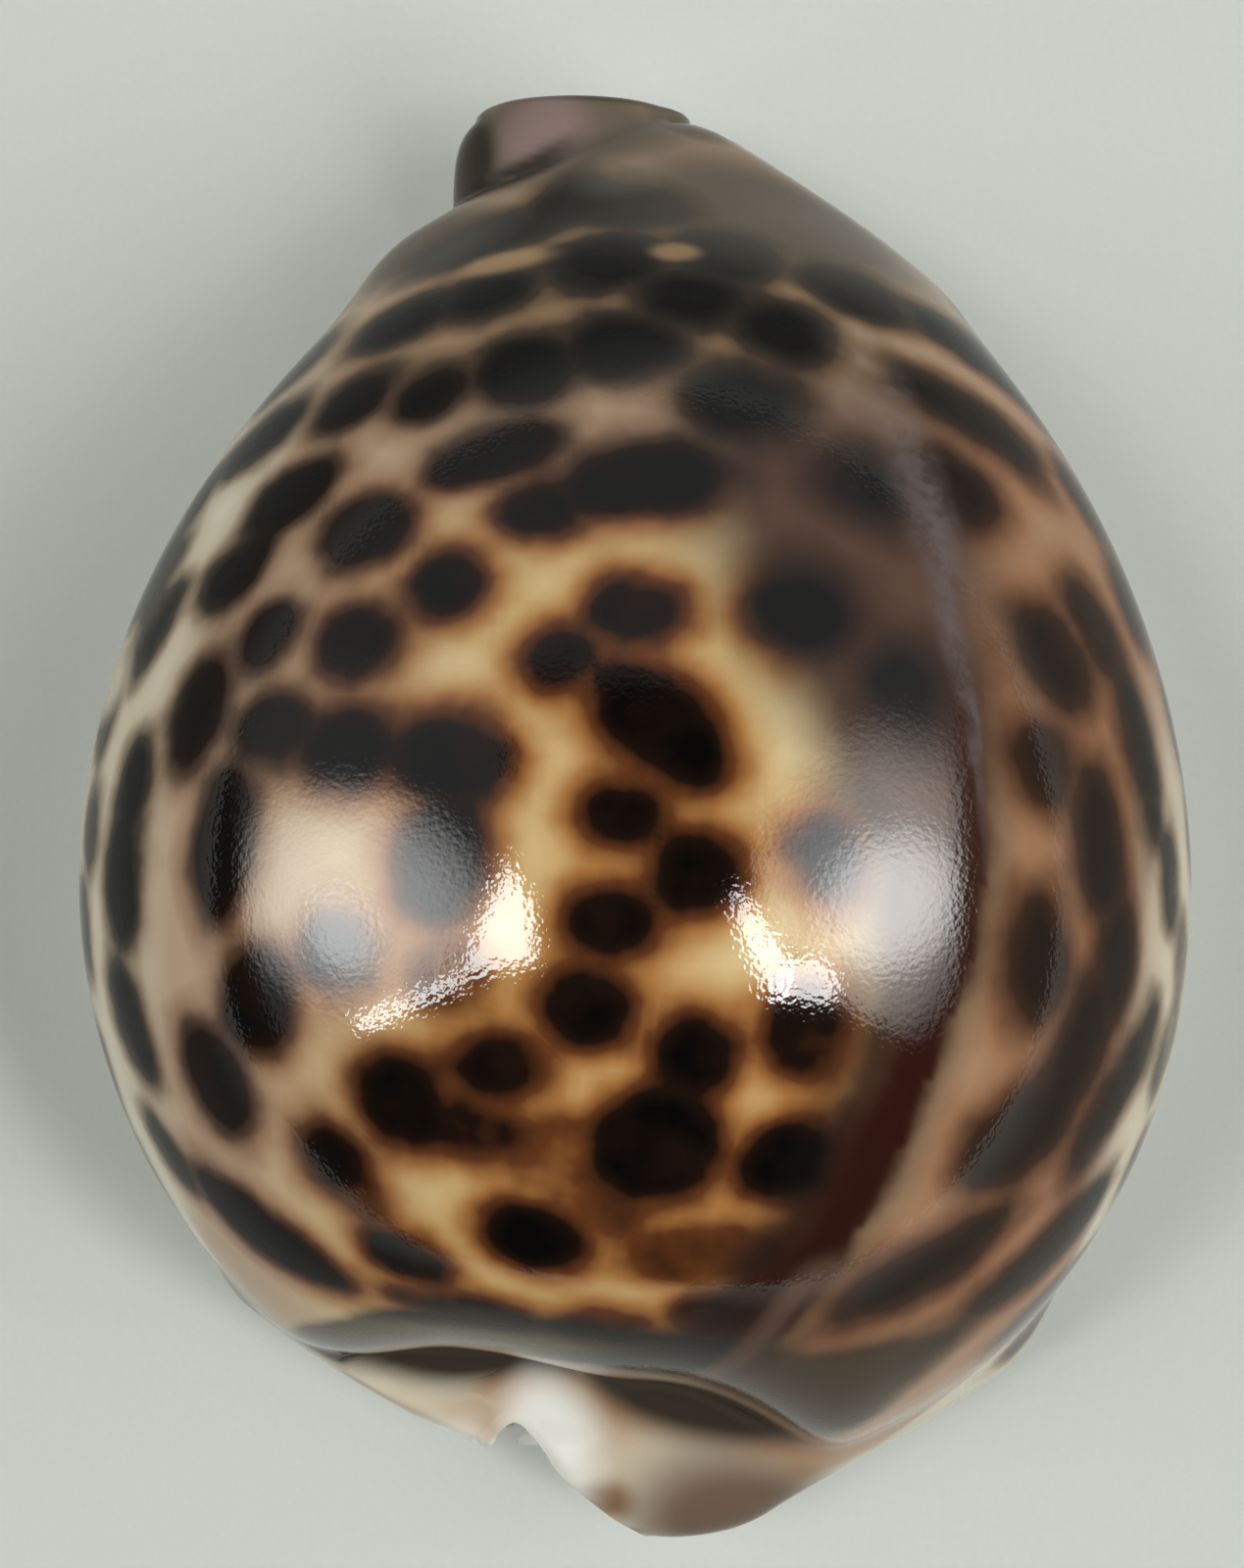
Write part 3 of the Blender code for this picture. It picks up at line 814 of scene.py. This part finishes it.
def markings(places, depth):
    """Every field that the glaze reads, by name."""
    angle = np.abs(crown_angle(places))
    inside = 1.0 - ease(-0.2, 0.6, depth)
    base = ease(*BASE_ANGLES, angle)
    x, y, z = places.T
    normal = outer_slope(places)
    front = ease(*FRONT_DUSK_Y, y)
    flank = ease(*FLANK_ANGLES, angle)
    left = ease(*MARGIN_ANGLES, angle) * (x < 0.0)
    low_back = (1.0 - ease(*SATIN_BACK_Y, y)) * (1.0 - ease(*SATIN_BACK_HEIGHTS, z))
    ends = np.maximum(low_back, ease(*SATIN_FRONT_Y, y))
    above = z - MARGIN_RISE * np.maximum(np.abs(x) - MARGIN_RISE_X, 0.0)
    pale_end = (1.0 - ease(*MARGIN_Y, y)) * (1.0 - ease(*MARGIN_HEIGHTS, above))
    margin = ease(*MARGIN_ANGLES, angle) * (ease(*MARGIN_Y, y) + pale_end)
    margin *= 1.0 - DARK_MARGIN * ease(*DARK_MARGIN_X, x) * ease(*DARK_MARGIN_Y, y)
    return {
        "blotch": blotch_field(places) - np.maximum(FRONT_SPREAD * front, FLANK_SPREAD * left),
        "mantle": mantle_field(places),
        "margin": margin,
        "front": front,
        "flank": flank,
        "white": np.maximum(np.maximum(base, inside), strongest(places, WHITE_PATCHES)),
        # Dark glaze of the front end, and painted shade on the steep back face.
        "umber_and_back_shade": np.maximum(strongest(places, UMBER_PATCHES), shaded_back_face(places, normal)),
        # Painted highlight: a thin pale line along the edge of the back fold.
        "line": line_on_fold(places, FOLD_HIGHLIGHT_REACH, FOLD_HIGHLIGHT_WIDTH),
        "seam": line_on_fold(places, SEAM_REACH, SEAM_WIDTH),
        # Painted shade in the crease beside the spout.
        "crease": spout_crease_shade(places),
        "honey": strongest(places, HONEY_PATCHES),
        "taupe": strongest(places, TAUPE_PATCHES),
        "shade": strongest(places, SHADE_PATCHES),
        # Painted sheen on top of the spout.
        "rose_sheen": strongest(places, ROSE_SHEEN_PATCHES),
        "rust": strongest(places, RUST_PATCHES),
        "dusky": strongest(places, DUSKY_PATCHES),
        "cream": strongest(places, CREAM_PATCHES),
        "satin": np.maximum(ease(*SATIN_SLOPES, np.abs(normal[:, 2])), ends),
    }


# ---------------------------------------------------------------- glaze

INK = (0.0020, 0.0014, 0.0011)
BARK = (0.014, 0.0055, 0.0030)
RUST = (0.13, 0.040, 0.012)
AMBER = (0.40, 0.175, 0.05)
HONEY = (0.62, 0.39, 0.16)
STRAW = (0.80, 0.62, 0.33)
SOOT = (0.006, 0.005, 0.0042)
EARTH = (0.10, 0.056, 0.035)
FAWN = (0.34, 0.21, 0.13)
SAND = (0.52, 0.36, 0.24)
WHEAT = (0.47, 0.30, 0.15)
SLATE = (0.022, 0.018, 0.014)
PEAT = (0.060, 0.040, 0.027)
BRASS = (0.26, 0.16, 0.085)
OLIVE = (0.055, 0.042, 0.029)
DRIFTWOOD = (0.30, 0.225, 0.15)
CREAM = (0.62, 0.53, 0.39)
IVORY = (0.75, 0.67, 0.52)
CHESTNUT = (0.050, 0.024, 0.015)
COCOA = (0.024, 0.016, 0.012)
COPPER = (0.18, 0.082, 0.042)
TAN = (0.37, 0.19, 0.10)
BISCUIT = (0.44, 0.26, 0.15)
PORCELAIN = (0.94, 0.92, 0.84)
LILAC = (0.14, 0.105, 0.10)
AUBERGINE = (0.024, 0.013, 0.010)
PLUM = (0.036, 0.016, 0.013)
SIENNA = (0.085, 0.033, 0.022)
MAROON = (0.030, 0.007, 0.004)
ROSE = (0.24, 0.17, 0.15)
TAUPE = (0.165, 0.108, 0.075)
OCHRE = (0.28, 0.15, 0.075)
UMBER = (0.022, 0.018, 0.013)
BRACKEN = (0.045, 0.034, 0.024)
DUSKY = (0.082, 0.070, 0.058)
CLAY = (0.15, 0.085, 0.06)

# Colour by distance, in millimetres, from the edge of a blotch.
BACK_COLOURS = ((-1.0, INK), (-0.4, BARK), (0.25, RUST), (0.9, AMBER), (1.7, HONEY), (3.0, STRAW))
DUSK_COLOURS = ((-1.0, SOOT), (-0.2, BARK), (0.4, EARTH), (1.15, FAWN), (2.3, SAND))
MARGIN_COLOURS = ((-0.7, SOOT), (0.1, OLIVE), (0.8, DRIFTWOOD), (1.6, CREAM), (3.0, IVORY))
HAZE_COLOURS = ((-0.8, SOOT), (0.1, AUBERGINE), (1.3, PLUM), (3.2, SIENNA))
TAN_COLOURS = ((-0.5, COCOA), (0.5, CHESTNUT), (1.4, COPPER), (2.5, TAN), (3.8, BISCUIT))
FRONT_COLOURS = ((-0.9, SOOT), (0.0, SLATE), (0.7, PEAT), (1.5, BRASS), (2.6, SAND))

# Noise that makes edges uneven: features to the metre, detail, and the most that it moves an
# edge, in millimetres, or in shares of the field for the dark front end and the painted back shade.
FINE_RIPPLE = (330.0, 2.0)
BROAD_RIPPLE = (120.0, 1.0)
BLOTCH_WANDER = 0.7
MANTLE_RIPPLE = (260.0, 3.0)
MANTLE_WANDER = 0.8
UMBER_RIPPLE = (160.0, 2.0)
UMBER_WANDER = 0.35

# Colours of the mantle line: distances across it in millimetres, places along the shell in
# metres, and strengths. Haze, then a dark seam and a maroon band, then the pale line.
HAZE = 0.95
HAZE_Y = (-0.012, 0.016)
HAZE_STARTS = (-6.5, -16.0)
HAZE_FILLS = (-3.0, -9.0)
HAZE_ENDS_Y = (0.0, 0.012)
HAZE_ENDS = (3.0, 6.5)
DARK_SEAM = 0.8
DARK_SEAM_SHIFT = 0.8
DARK_SEAM_WIDTH = (1.7, 0.3)
DARK_SEAM_Y = (0.012, 0.0)
MAROON_BAND = 0.9
MAROON_STARTS = (-4.5, -1.5)
MAROON_ENDS = (1.2, -0.6)
MAROON_Y = (0.0, -0.012)
PALE_LINE = 0.85
PALE_LINE_Y = (-0.004, 0.006)
PALE_LINE_GROWS_Y = (0.0, 0.020)
PALE_LINE_WIDTHS = (0.6, 2.6)
PALE_LINE_CORE = 0.1
MOTTLE = (900.0, 3.0)
MOTTLE_RANGE = (0.35, 0.60, 0.5, 1.0)

# Where each range of colours comes in, as values of its field, and how the dark glaze of the
# front end and the painted shade of the back face fade out and thin away from the blotches.
DUSK_FRONT = (0.0, 0.4)
TAN_SIDE = (-0.6, 2.4)
MARGIN_FADE = (0.3, 1.0)
FRONT_FADE = (0.25, 0.9)
SHADE_FADE = (0.0, 0.7)
UMBER_EDGE = (0.1, 0.75)
UMBER_LIMIT = (0.0, 0.2)
UMBER_THINS_FROM_BLOTCH = (0.5, 3.0, 1.0, 0.88)
HONEY_STRENGTH = 0.65
CREASE_SHADE_STRENGTH = 0.85

# Fields laid over the rest, in order: name, strength and colour.
# The rose patch on top of the spout is a painted sheen.
PATCH_COLOURS = (
    ("dusky", 0.85, DUSKY), ("cream", 1.0, CREAM), ("rust", 1.0, OCHRE),
    ("rose_sheen", 1.0, ROSE), ("taupe", 1.0, TAUPE),
)
# The line field is a painted highlight along the edge of the back fold.
LAST_COLOURS = (("seam", 0.6, CLAY), ("line", 0.25, DRIFTWOOD), ("white", 1.0, PORCELAIN))

# Strength of the mirror in the glaze, on the back and down on the steep margins, and the faint
# hammering of its skin.
GLOSS = 0.5
SATIN = 0.03
GLAZE_ROUGHNESS = 0.05
GLAZE_IOR = 1.6
HAMMER = (3400.0, 1.0)
HAMMER_STRENGTH = 0.5
HAMMER_DEPTH_M = 0.00002

MIX_FIRST, MIX_SECOND, MIX_RESULT = 6, 7, 2


class Nodes:
    """Short ways to add and join the nodes of a material or a sky."""

    def __init__(self, tree):
        self.tree = tree

    def put(self, socket, value):
        if isinstance(value, bpy.types.NodeSocket):
            self.tree.links.new(value, socket)
        elif socket.type == "RGBA":
            socket.default_value = (*value, 1.0)
        else:
            socket.default_value = value

    def field(self, name):
        node = self.tree.nodes.new("ShaderNodeAttribute")
        node.attribute_name = name
        return node.outputs["Fac"]

    def place(self):
        return self.tree.nodes.new("ShaderNodeTexCoord").outputs["Object"]

    def parts(self, vector):
        node = self.tree.nodes.new("ShaderNodeSeparateXYZ")
        self.put(node.inputs[0], vector)
        return node.outputs

    def maths(self, kind, first, second=0.0, clamp=False):
        node = self.tree.nodes.new("ShaderNodeMath")
        node.operation = kind
        node.use_clamp = clamp
        self.put(node.inputs[0], first)
        self.put(node.inputs[1], second)
        return node.outputs[0]

    def product(self, *values):
        total = values[0]
        for value in values[1:]:
            total = self.maths("MULTIPLY", total, value)
        return total

    def fade(self, value, low, high, to_low=0.0, to_high=1.0):
        """Smooth change from one number to another as a value goes from low to high."""
        node = self.tree.nodes.new("ShaderNodeMapRange")
        node.interpolation_type = "SMOOTHSTEP"
        self.put(node.inputs["Value"], value)
        self.put(node.inputs["From Min"], low)
        self.put(node.inputs["From Max"], high)
        self.put(node.inputs["To Min"], to_low)
        self.put(node.inputs["To Max"], to_high)
        return node.outputs["Result"]

    def mix(self, amount, first, second, blend="MIX"):
        node = self.tree.nodes.new("ShaderNodeMix")
        node.data_type = "RGBA"
        node.blend_type = blend
        self.put(node.inputs["Factor"], amount)
        self.put(node.inputs[MIX_FIRST], first)
        self.put(node.inputs[MIX_SECOND], second)
        return node.outputs[MIX_RESULT]

    def ramp(self, value, stops):
        """Colour that runs through the stops as a value goes up."""
        low = stops[0][0]
        width = stops[-1][0] - low
        share = self.maths("DIVIDE", self.maths("SUBTRACT", value, low), width, clamp=True)
        node = self.tree.nodes.new("ShaderNodeValToRGB")
        elements = node.color_ramp.elements
        for at, colour in stops[1:-1]:
            elements.new((at - low) / width).color = (*colour, 1.0)
        elements[0].color = (*stops[0][1], 1.0)
        elements[-1].color = (*stops[-1][1], 1.0)
        self.put(node.inputs[0], share)
        return node.outputs["Color"]

    def noise(self, scale, detail):
        """Noise from 0 to 1. Scale is in features per metre."""
        node = self.tree.nodes.new("ShaderNodeTexNoise")
        self.put(node.inputs["Vector"], self.place())
        node.inputs["Scale"].default_value = scale
        node.inputs["Detail"].default_value = detail
        return node.outputs["Fac"]

    def shifted(self, value, noise, size):
        """A value moved by noise, up to about the given size either way."""
        swing = self.product(self.maths("SUBTRACT", noise, 0.5), 2.0 * size)
        return self.maths("ADD", value, swing)


def mantle_colour(glaze, colour, edge, mantle, along):
    """Plum haze, maroon seam and mottled lilac line where the flaps of the mantle met."""
    past = glaze.fade(mantle, glaze.fade(along, *HAZE_ENDS_Y, *HAZE_ENDS), 0.0)
    haze_starts = glaze.fade(along, *HAZE_Y, *HAZE_STARTS)
    haze_fills = glaze.fade(along, *HAZE_Y, *HAZE_FILLS)
    haze = glaze.product(glaze.fade(mantle, haze_starts, haze_fills), past, HAZE)
    colour = glaze.mix(haze, colour, glaze.ramp(edge, HAZE_COLOURS))
    beside = glaze.maths("ABSOLUTE", glaze.maths("ADD", mantle, DARK_SEAM_SHIFT))
    seam = glaze.product(glaze.fade(beside, *DARK_SEAM_WIDTH), glaze.fade(along, *DARK_SEAM_Y))
    colour = glaze.mix(glaze.product(seam, DARK_SEAM), colour, MAROON, "DARKEN")
    band = glaze.product(glaze.fade(mantle, *MAROON_STARTS), glaze.fade(mantle, *MAROON_ENDS))
    band = glaze.product(band, glaze.fade(along, *MAROON_Y), MAROON_BAND)
    colour = glaze.mix(band, colour, MAROON, "DARKEN")
    width = glaze.fade(along, *PALE_LINE_GROWS_Y, *PALE_LINE_WIDTHS)
    line = glaze.fade(glaze.maths("ABSOLUTE", mantle), width, PALE_LINE_CORE)
    mottle = glaze.fade(glaze.noise(*MOTTLE), *MOTTLE_RANGE)
    line = glaze.product(line, mottle, glaze.fade(along, *PALE_LINE_Y), PALE_LINE)
    return glaze.mix(line, colour, LILAC)


def dark_ends_and_back_shade(glaze, edge):
    """How far the dark glaze of the front end and the painted shade of the steep back face cover the rest,
    with an uneven edge.
    """
    umber_and_back_shade = glaze.field("umber_and_back_shade")
    uneven = glaze.shifted(umber_and_back_shade, glaze.noise(*UMBER_RIPPLE), UMBER_WANDER)
    covered = glaze.product(glaze.fade(uneven, *UMBER_EDGE), glaze.fade(umber_and_back_shade, *UMBER_LIMIT))
    return glaze.product(covered, glaze.fade(edge, *UMBER_THINS_FROM_BLOTCH))


def shell_colour(glaze):
    """Clouded, blotched colour of the whole shell."""
    edge = glaze.shifted(glaze.field("blotch"), glaze.noise(*FINE_RIPPLE), BLOTCH_WANDER)
    edge = glaze.shifted(edge, glaze.noise(*BROAD_RIPPLE), BLOTCH_WANDER)
    mantle = glaze.shifted(glaze.field("mantle"), glaze.noise(*MANTLE_RIPPLE), MANTLE_WANDER)
    along = glaze.parts(glaze.place())["Y"]
    front = glaze.field("front")
    dusk = glaze.maths("MAXIMUM", glaze.fade(front, *DUSK_FRONT), glaze.field("flank"))
    colour = glaze.mix(dusk, glaze.ramp(edge, BACK_COLOURS), glaze.ramp(edge, DUSK_COLOURS))
    colour = glaze.mix(glaze.fade(mantle, *TAN_SIDE), colour, glaze.ramp(edge, TAN_COLOURS))
    colour = mantle_colour(glaze, colour, edge, mantle, along)
    margin = glaze.fade(glaze.field("margin"), *MARGIN_FADE)
    colour = glaze.mix(margin, colour, glaze.ramp(edge, MARGIN_COLOURS))
    colour = glaze.mix(glaze.fade(front, *FRONT_FADE), colour, glaze.ramp(edge, FRONT_COLOURS))
    for name, strength, paint in PATCH_COLOURS:
        colour = glaze.mix(glaze.product(glaze.field(name), strength), colour, paint)
    # Painted shade below the back fold, in brown.
    colour = glaze.mix(glaze.fade(glaze.field("shade"), *SHADE_FADE), colour, BRACKEN)
    honey = glaze.field("honey")
    colour = glaze.mix(glaze.product(honey, honey, HONEY_STRENGTH), colour, WHEAT)
    # Painted shade in the crease beside the spout, in umber.
    colour = glaze.mix(glaze.product(glaze.field("crease"), CREASE_SHADE_STRENGTH), colour, UMBER)
    # Umber: the dark glaze of the front end, and painted shade on the steep back face.
    colour = glaze.mix(dark_ends_and_back_shade(glaze, edge), colour, UMBER)
    for name, strength, paint in LAST_COLOURS:
        colour = glaze.mix(glaze.product(glaze.field(name), strength), colour, paint)
    return colour


def spotted_glaze():
    """Polished shell: a clear glossy skin, faintly hammered, over the colour."""
    material = bpy.data.materials.new("spotted_glaze")
    material.use_nodes = True
    glaze = Nodes(material.node_tree)
    shader = glaze.tree.nodes["Principled BSDF"]
    glaze.put(shader.inputs["Base Color"], shell_colour(glaze))
    shader.inputs["Roughness"].default_value = GLAZE_ROUGHNESS
    shader.inputs["IOR"].default_value = GLAZE_IOR
    glaze.put(shader.inputs["Specular IOR Level"], glaze.fade(glaze.field("satin"), 0.0, 1.0, GLOSS, SATIN))
    bump = glaze.tree.nodes.new("ShaderNodeBump")
    bump.inputs["Strength"].default_value = HAMMER_STRENGTH
    bump.inputs["Distance"].default_value = HAMMER_DEPTH_M
    glaze.put(bump.inputs["Height"], glaze.noise(*HAMMER))
    glaze.put(shader.inputs["Normal"], bump.outputs["Normal"])
    return material


def make_shell():
    """The finished shell with its fields and its glaze."""
    slab = slab_of_shell()
    places, depth = roll(slab)
    mesh = bpy.data.meshes.new("glazed_shell")
    slab.to_mesh(mesh)
    slab.free()
    mesh.shade_smooth()
    for name, values in markings(places, depth).items():
        field = mesh.attributes.new(name, "FLOAT", "POINT")
        field.data.foreach_set("value", values.astype(np.float32))
    mesh.materials.append(spotted_glaze())
    shell = bpy.data.objects.new("glazed_shell", mesh)
    bpy.context.scene.collection.objects.link(shell)
    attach(shell, "root")
    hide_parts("shell")


# ---------------------------------------------------------------- table, light, camera

FLOOR_SIZE_M = 3.0
FLOOR_COLOUR = (0.60, 0.615, 0.575)
FLOOR_MOTTLE = 0.03
FLOOR_GRAIN = (2500.0, 3.0)
FLOOR_ROUGHNESS = 0.7
FLOOR_MIRROR = 0.2
CAMERA_PLACE_M = (-0.00072, 0.00205, 0.2115)
CAMERA_LENS = 78.8
CAMERA_SENSOR = 36.0
CAMERA_NEAREST_M = 0.005

# Lamps: name, place and size in metres, and power in watts.
LAMPS = (("overhead", (-0.22, 0.04, 0.85), 0.9, 0.2), ("window", (0.90, -0.48, 1.00), 0.60, 5.5))

# Sky: strengths of the room, of the pale ceiling past the front end, and of the windows, and
# the share of the windows' glows that lights what doesn't mirror them.
# Corners and centres are slopes of the surface that mirrors them straight up.
SKY_COLOUR = (0.97, 1.0, 1.0)
ROOM = 0.025
CEILING = 0.22
CEILING_FROM = (0.38, 0.45)
WINDOW = 0.30
WINDOW_SOFTNESS = 0.02
GLOW_LIGHT = 0.27
LEFT_WINDOW = (
    (-0.66, 0.50), (-0.66, -0.08), (-0.60, -0.24), (-0.48, -0.23), (-0.20, 0.05), (-0.20, 0.50),
)
LEFT_GLOWS = (((-0.49, -0.01), (0.08, 0.10), 3.5), ((-0.45, 0.03), (0.26, 0.24), 4.8))
RIGHT_WINDOW = (
    (0.20, 0.50), (0.20, 0.07), (0.35, -0.13), (0.48, -0.21),
    (0.54, -0.12), (0.55, 0.00), (0.54, 0.22), (0.52, 0.50),
)
RIGHT_GLOWS = (((0.38, 0.06), (0.24, 0.30), 3.2), ((0.42, 0.05), (0.15, 0.15), 6.5))
WINDOWS = ((LEFT_WINDOW, LEFT_GLOWS), (RIGHT_WINDOW, RIGHT_GLOWS))
PANE = 12.0
PANE_SOFTNESS = 0.006
PANES = (
    ((-0.21, 0.14), (-0.30, -0.08), (-0.17, -0.04), (-0.17, 0.06)),
    ((-0.48, -0.18), (-0.47, -0.20), (-0.29, -0.09), (-0.30, -0.07)),
    ((0.16, 0.09), (0.17, 0.02), (0.22, -0.10), (0.25, -0.11), (0.26, -0.04), (0.18, 0.08)),
    ((0.22, -0.10), (0.33, -0.12), (0.34, -0.08), (0.30, -0.03), (0.25, -0.04)),
)


def make_floor():
    """A plain pale table."""
    table = bmesh.new()
    bmesh.ops.create_grid(table, x_segments=4, y_segments=4, size=FLOOR_SIZE_M / 2.0)
    mesh = bpy.data.meshes.new("table")
    table.to_mesh(mesh)
    table.free()
    floor = bpy.data.objects.new("table", mesh)
    bpy.context.scene.collection.objects.link(floor)
    material = bpy.data.materials.new("pale_table")
    material.use_nodes = True
    paint = Nodes(material.node_tree)
    shader = paint.tree.nodes["Principled BSDF"]
    darker = tuple(share * (1.0 - FLOOR_MOTTLE) for share in FLOOR_COLOUR)
    lighter = tuple(share * (1.0 + FLOOR_MOTTLE) for share in FLOOR_COLOUR)
    paint.put(shader.inputs["Base Color"], paint.mix(paint.noise(*FLOOR_GRAIN), darker, lighter))
    shader.inputs["Roughness"].default_value = FLOOR_ROUGHNESS
    shader.inputs["Specular IOR Level"].default_value = FLOOR_MIRROR
    mesh.materials.append(material)


def make_camera():
    lens = bpy.data.cameras.new("camera")
    lens.lens = CAMERA_LENS
    lens.sensor_width = CAMERA_SENSOR
    lens.sensor_fit = "AUTO"
    lens.clip_start = CAMERA_NEAREST_M
    camera = bpy.data.objects.new("camera", lens)
    camera.location = CAMERA_PLACE_M
    bpy.context.scene.collection.objects.link(camera)
    bpy.context.scene.camera = camera


def opening(sky, x, y, corners, softness):
    """1 inside the corners of a window, given anticlockwise, and 0 outside them."""
    shape = 1.0
    for (x1, y1), (x2, y2) in zip(corners, corners[1:] + corners[:1]):
        length = math.hypot(x2 - x1, y2 - y1)
        across = (y1 - y2) / length
        up = (x2 - x1) / length
        distance = sky.maths("ADD", sky.product(x, across), sky.product(y, up))
        edge = across * x1 + up * y1
        shape = sky.product(sky.fade(distance, edge - softness, edge + softness), shape)
    return shape


def glow(sky, x, y, centre, radii):
    """A soft oval light."""
    across = sky.maths("DIVIDE", sky.maths("SUBTRACT", x, centre[0]), radii[0])
    along = sky.maths("DIVIDE", sky.maths("SUBTRACT", y, centre[1]), radii[1])
    size = sky.maths("ADD", sky.product(across, across), sky.product(along, along))
    return sky.fade(size, 1.0, 0.0)


def make_sky():
    """A dark room with a pale ceiling past the front end and a soft window on each side.

    Its light is laid out by the slope of the surface that mirrors it straight up.
    """
    world = bpy.data.worlds.new("studio")
    bpy.context.scene.world = world
    world.use_nodes = True
    sky = Nodes(world.node_tree)
    way = sky.tree.nodes.new("ShaderNodeTexCoord").outputs["Generated"]
    raised = sky.tree.nodes.new("ShaderNodeVectorMath")
    raised.operation = "ADD"
    sky.put(raised.inputs[0], way)
    raised.inputs[1].default_value = (0.0, 0.0, 1.0)
    half = sky.tree.nodes.new("ShaderNodeVectorMath")
    half.operation = "NORMALIZE"
    sky.put(half.inputs[0], raised.outputs[0])
    parts = sky.parts(half.outputs[0])
    x = parts["X"]
    y = parts["Y"]
    light = sky.maths("ADD", sky.product(sky.fade(y, *CEILING_FROM), CEILING), ROOM)
    mirrored = sky.tree.nodes.new("ShaderNodeLightPath").outputs["Is Glossy Ray"]
    share = sky.fade(mirrored, 0.0, 1.0, GLOW_LIGHT, 1.0)
    for corners, glows in WINDOWS:
        strength = WINDOW
        for centre, radii, power in glows:
            glowing = sky.product(glow(sky, x, y, centre, radii), power, share)
            strength = sky.maths("ADD", glowing, strength)
        window = sky.product(opening(sky, x, y, corners, WINDOW_SOFTNESS), sky.fade(y, *CEILING_FROM[::-1]))
        light = sky.maths("ADD", light, sky.product(window, strength))
    for corners in PANES:
        light = sky.maths("ADD", light, sky.product(opening(sky, x, y, corners, PANE_SOFTNESS), PANE))
    background = sky.tree.nodes["Background"]
    background.inputs["Color"].default_value = (*SKY_COLOUR, 1.0)
    sky.put(background.inputs["Strength"], light)


def make_lamp(name, place, size, power):
    """A round soft lamp aimed at the shell, which lights it but isn't mirrored in it."""
    lamp = bpy.data.lights.new(name, "AREA")
    lamp.shape = "DISK"
    lamp.size = size
    lamp.energy = power
    light = bpy.data.objects.new(name, lamp)
    light.location = place
    light.rotation_euler = Vector(place).to_track_quat("Z", "Y").to_euler()
    light.visible_glossy = False
    bpy.context.scene.collection.objects.link(light)


make_camera()
make_floor()
make_shell()
make_sky()
for lamp in LAMPS:
    make_lamp(*lamp)
bpy.context.scene.view_settings.view_transform = "Standard"
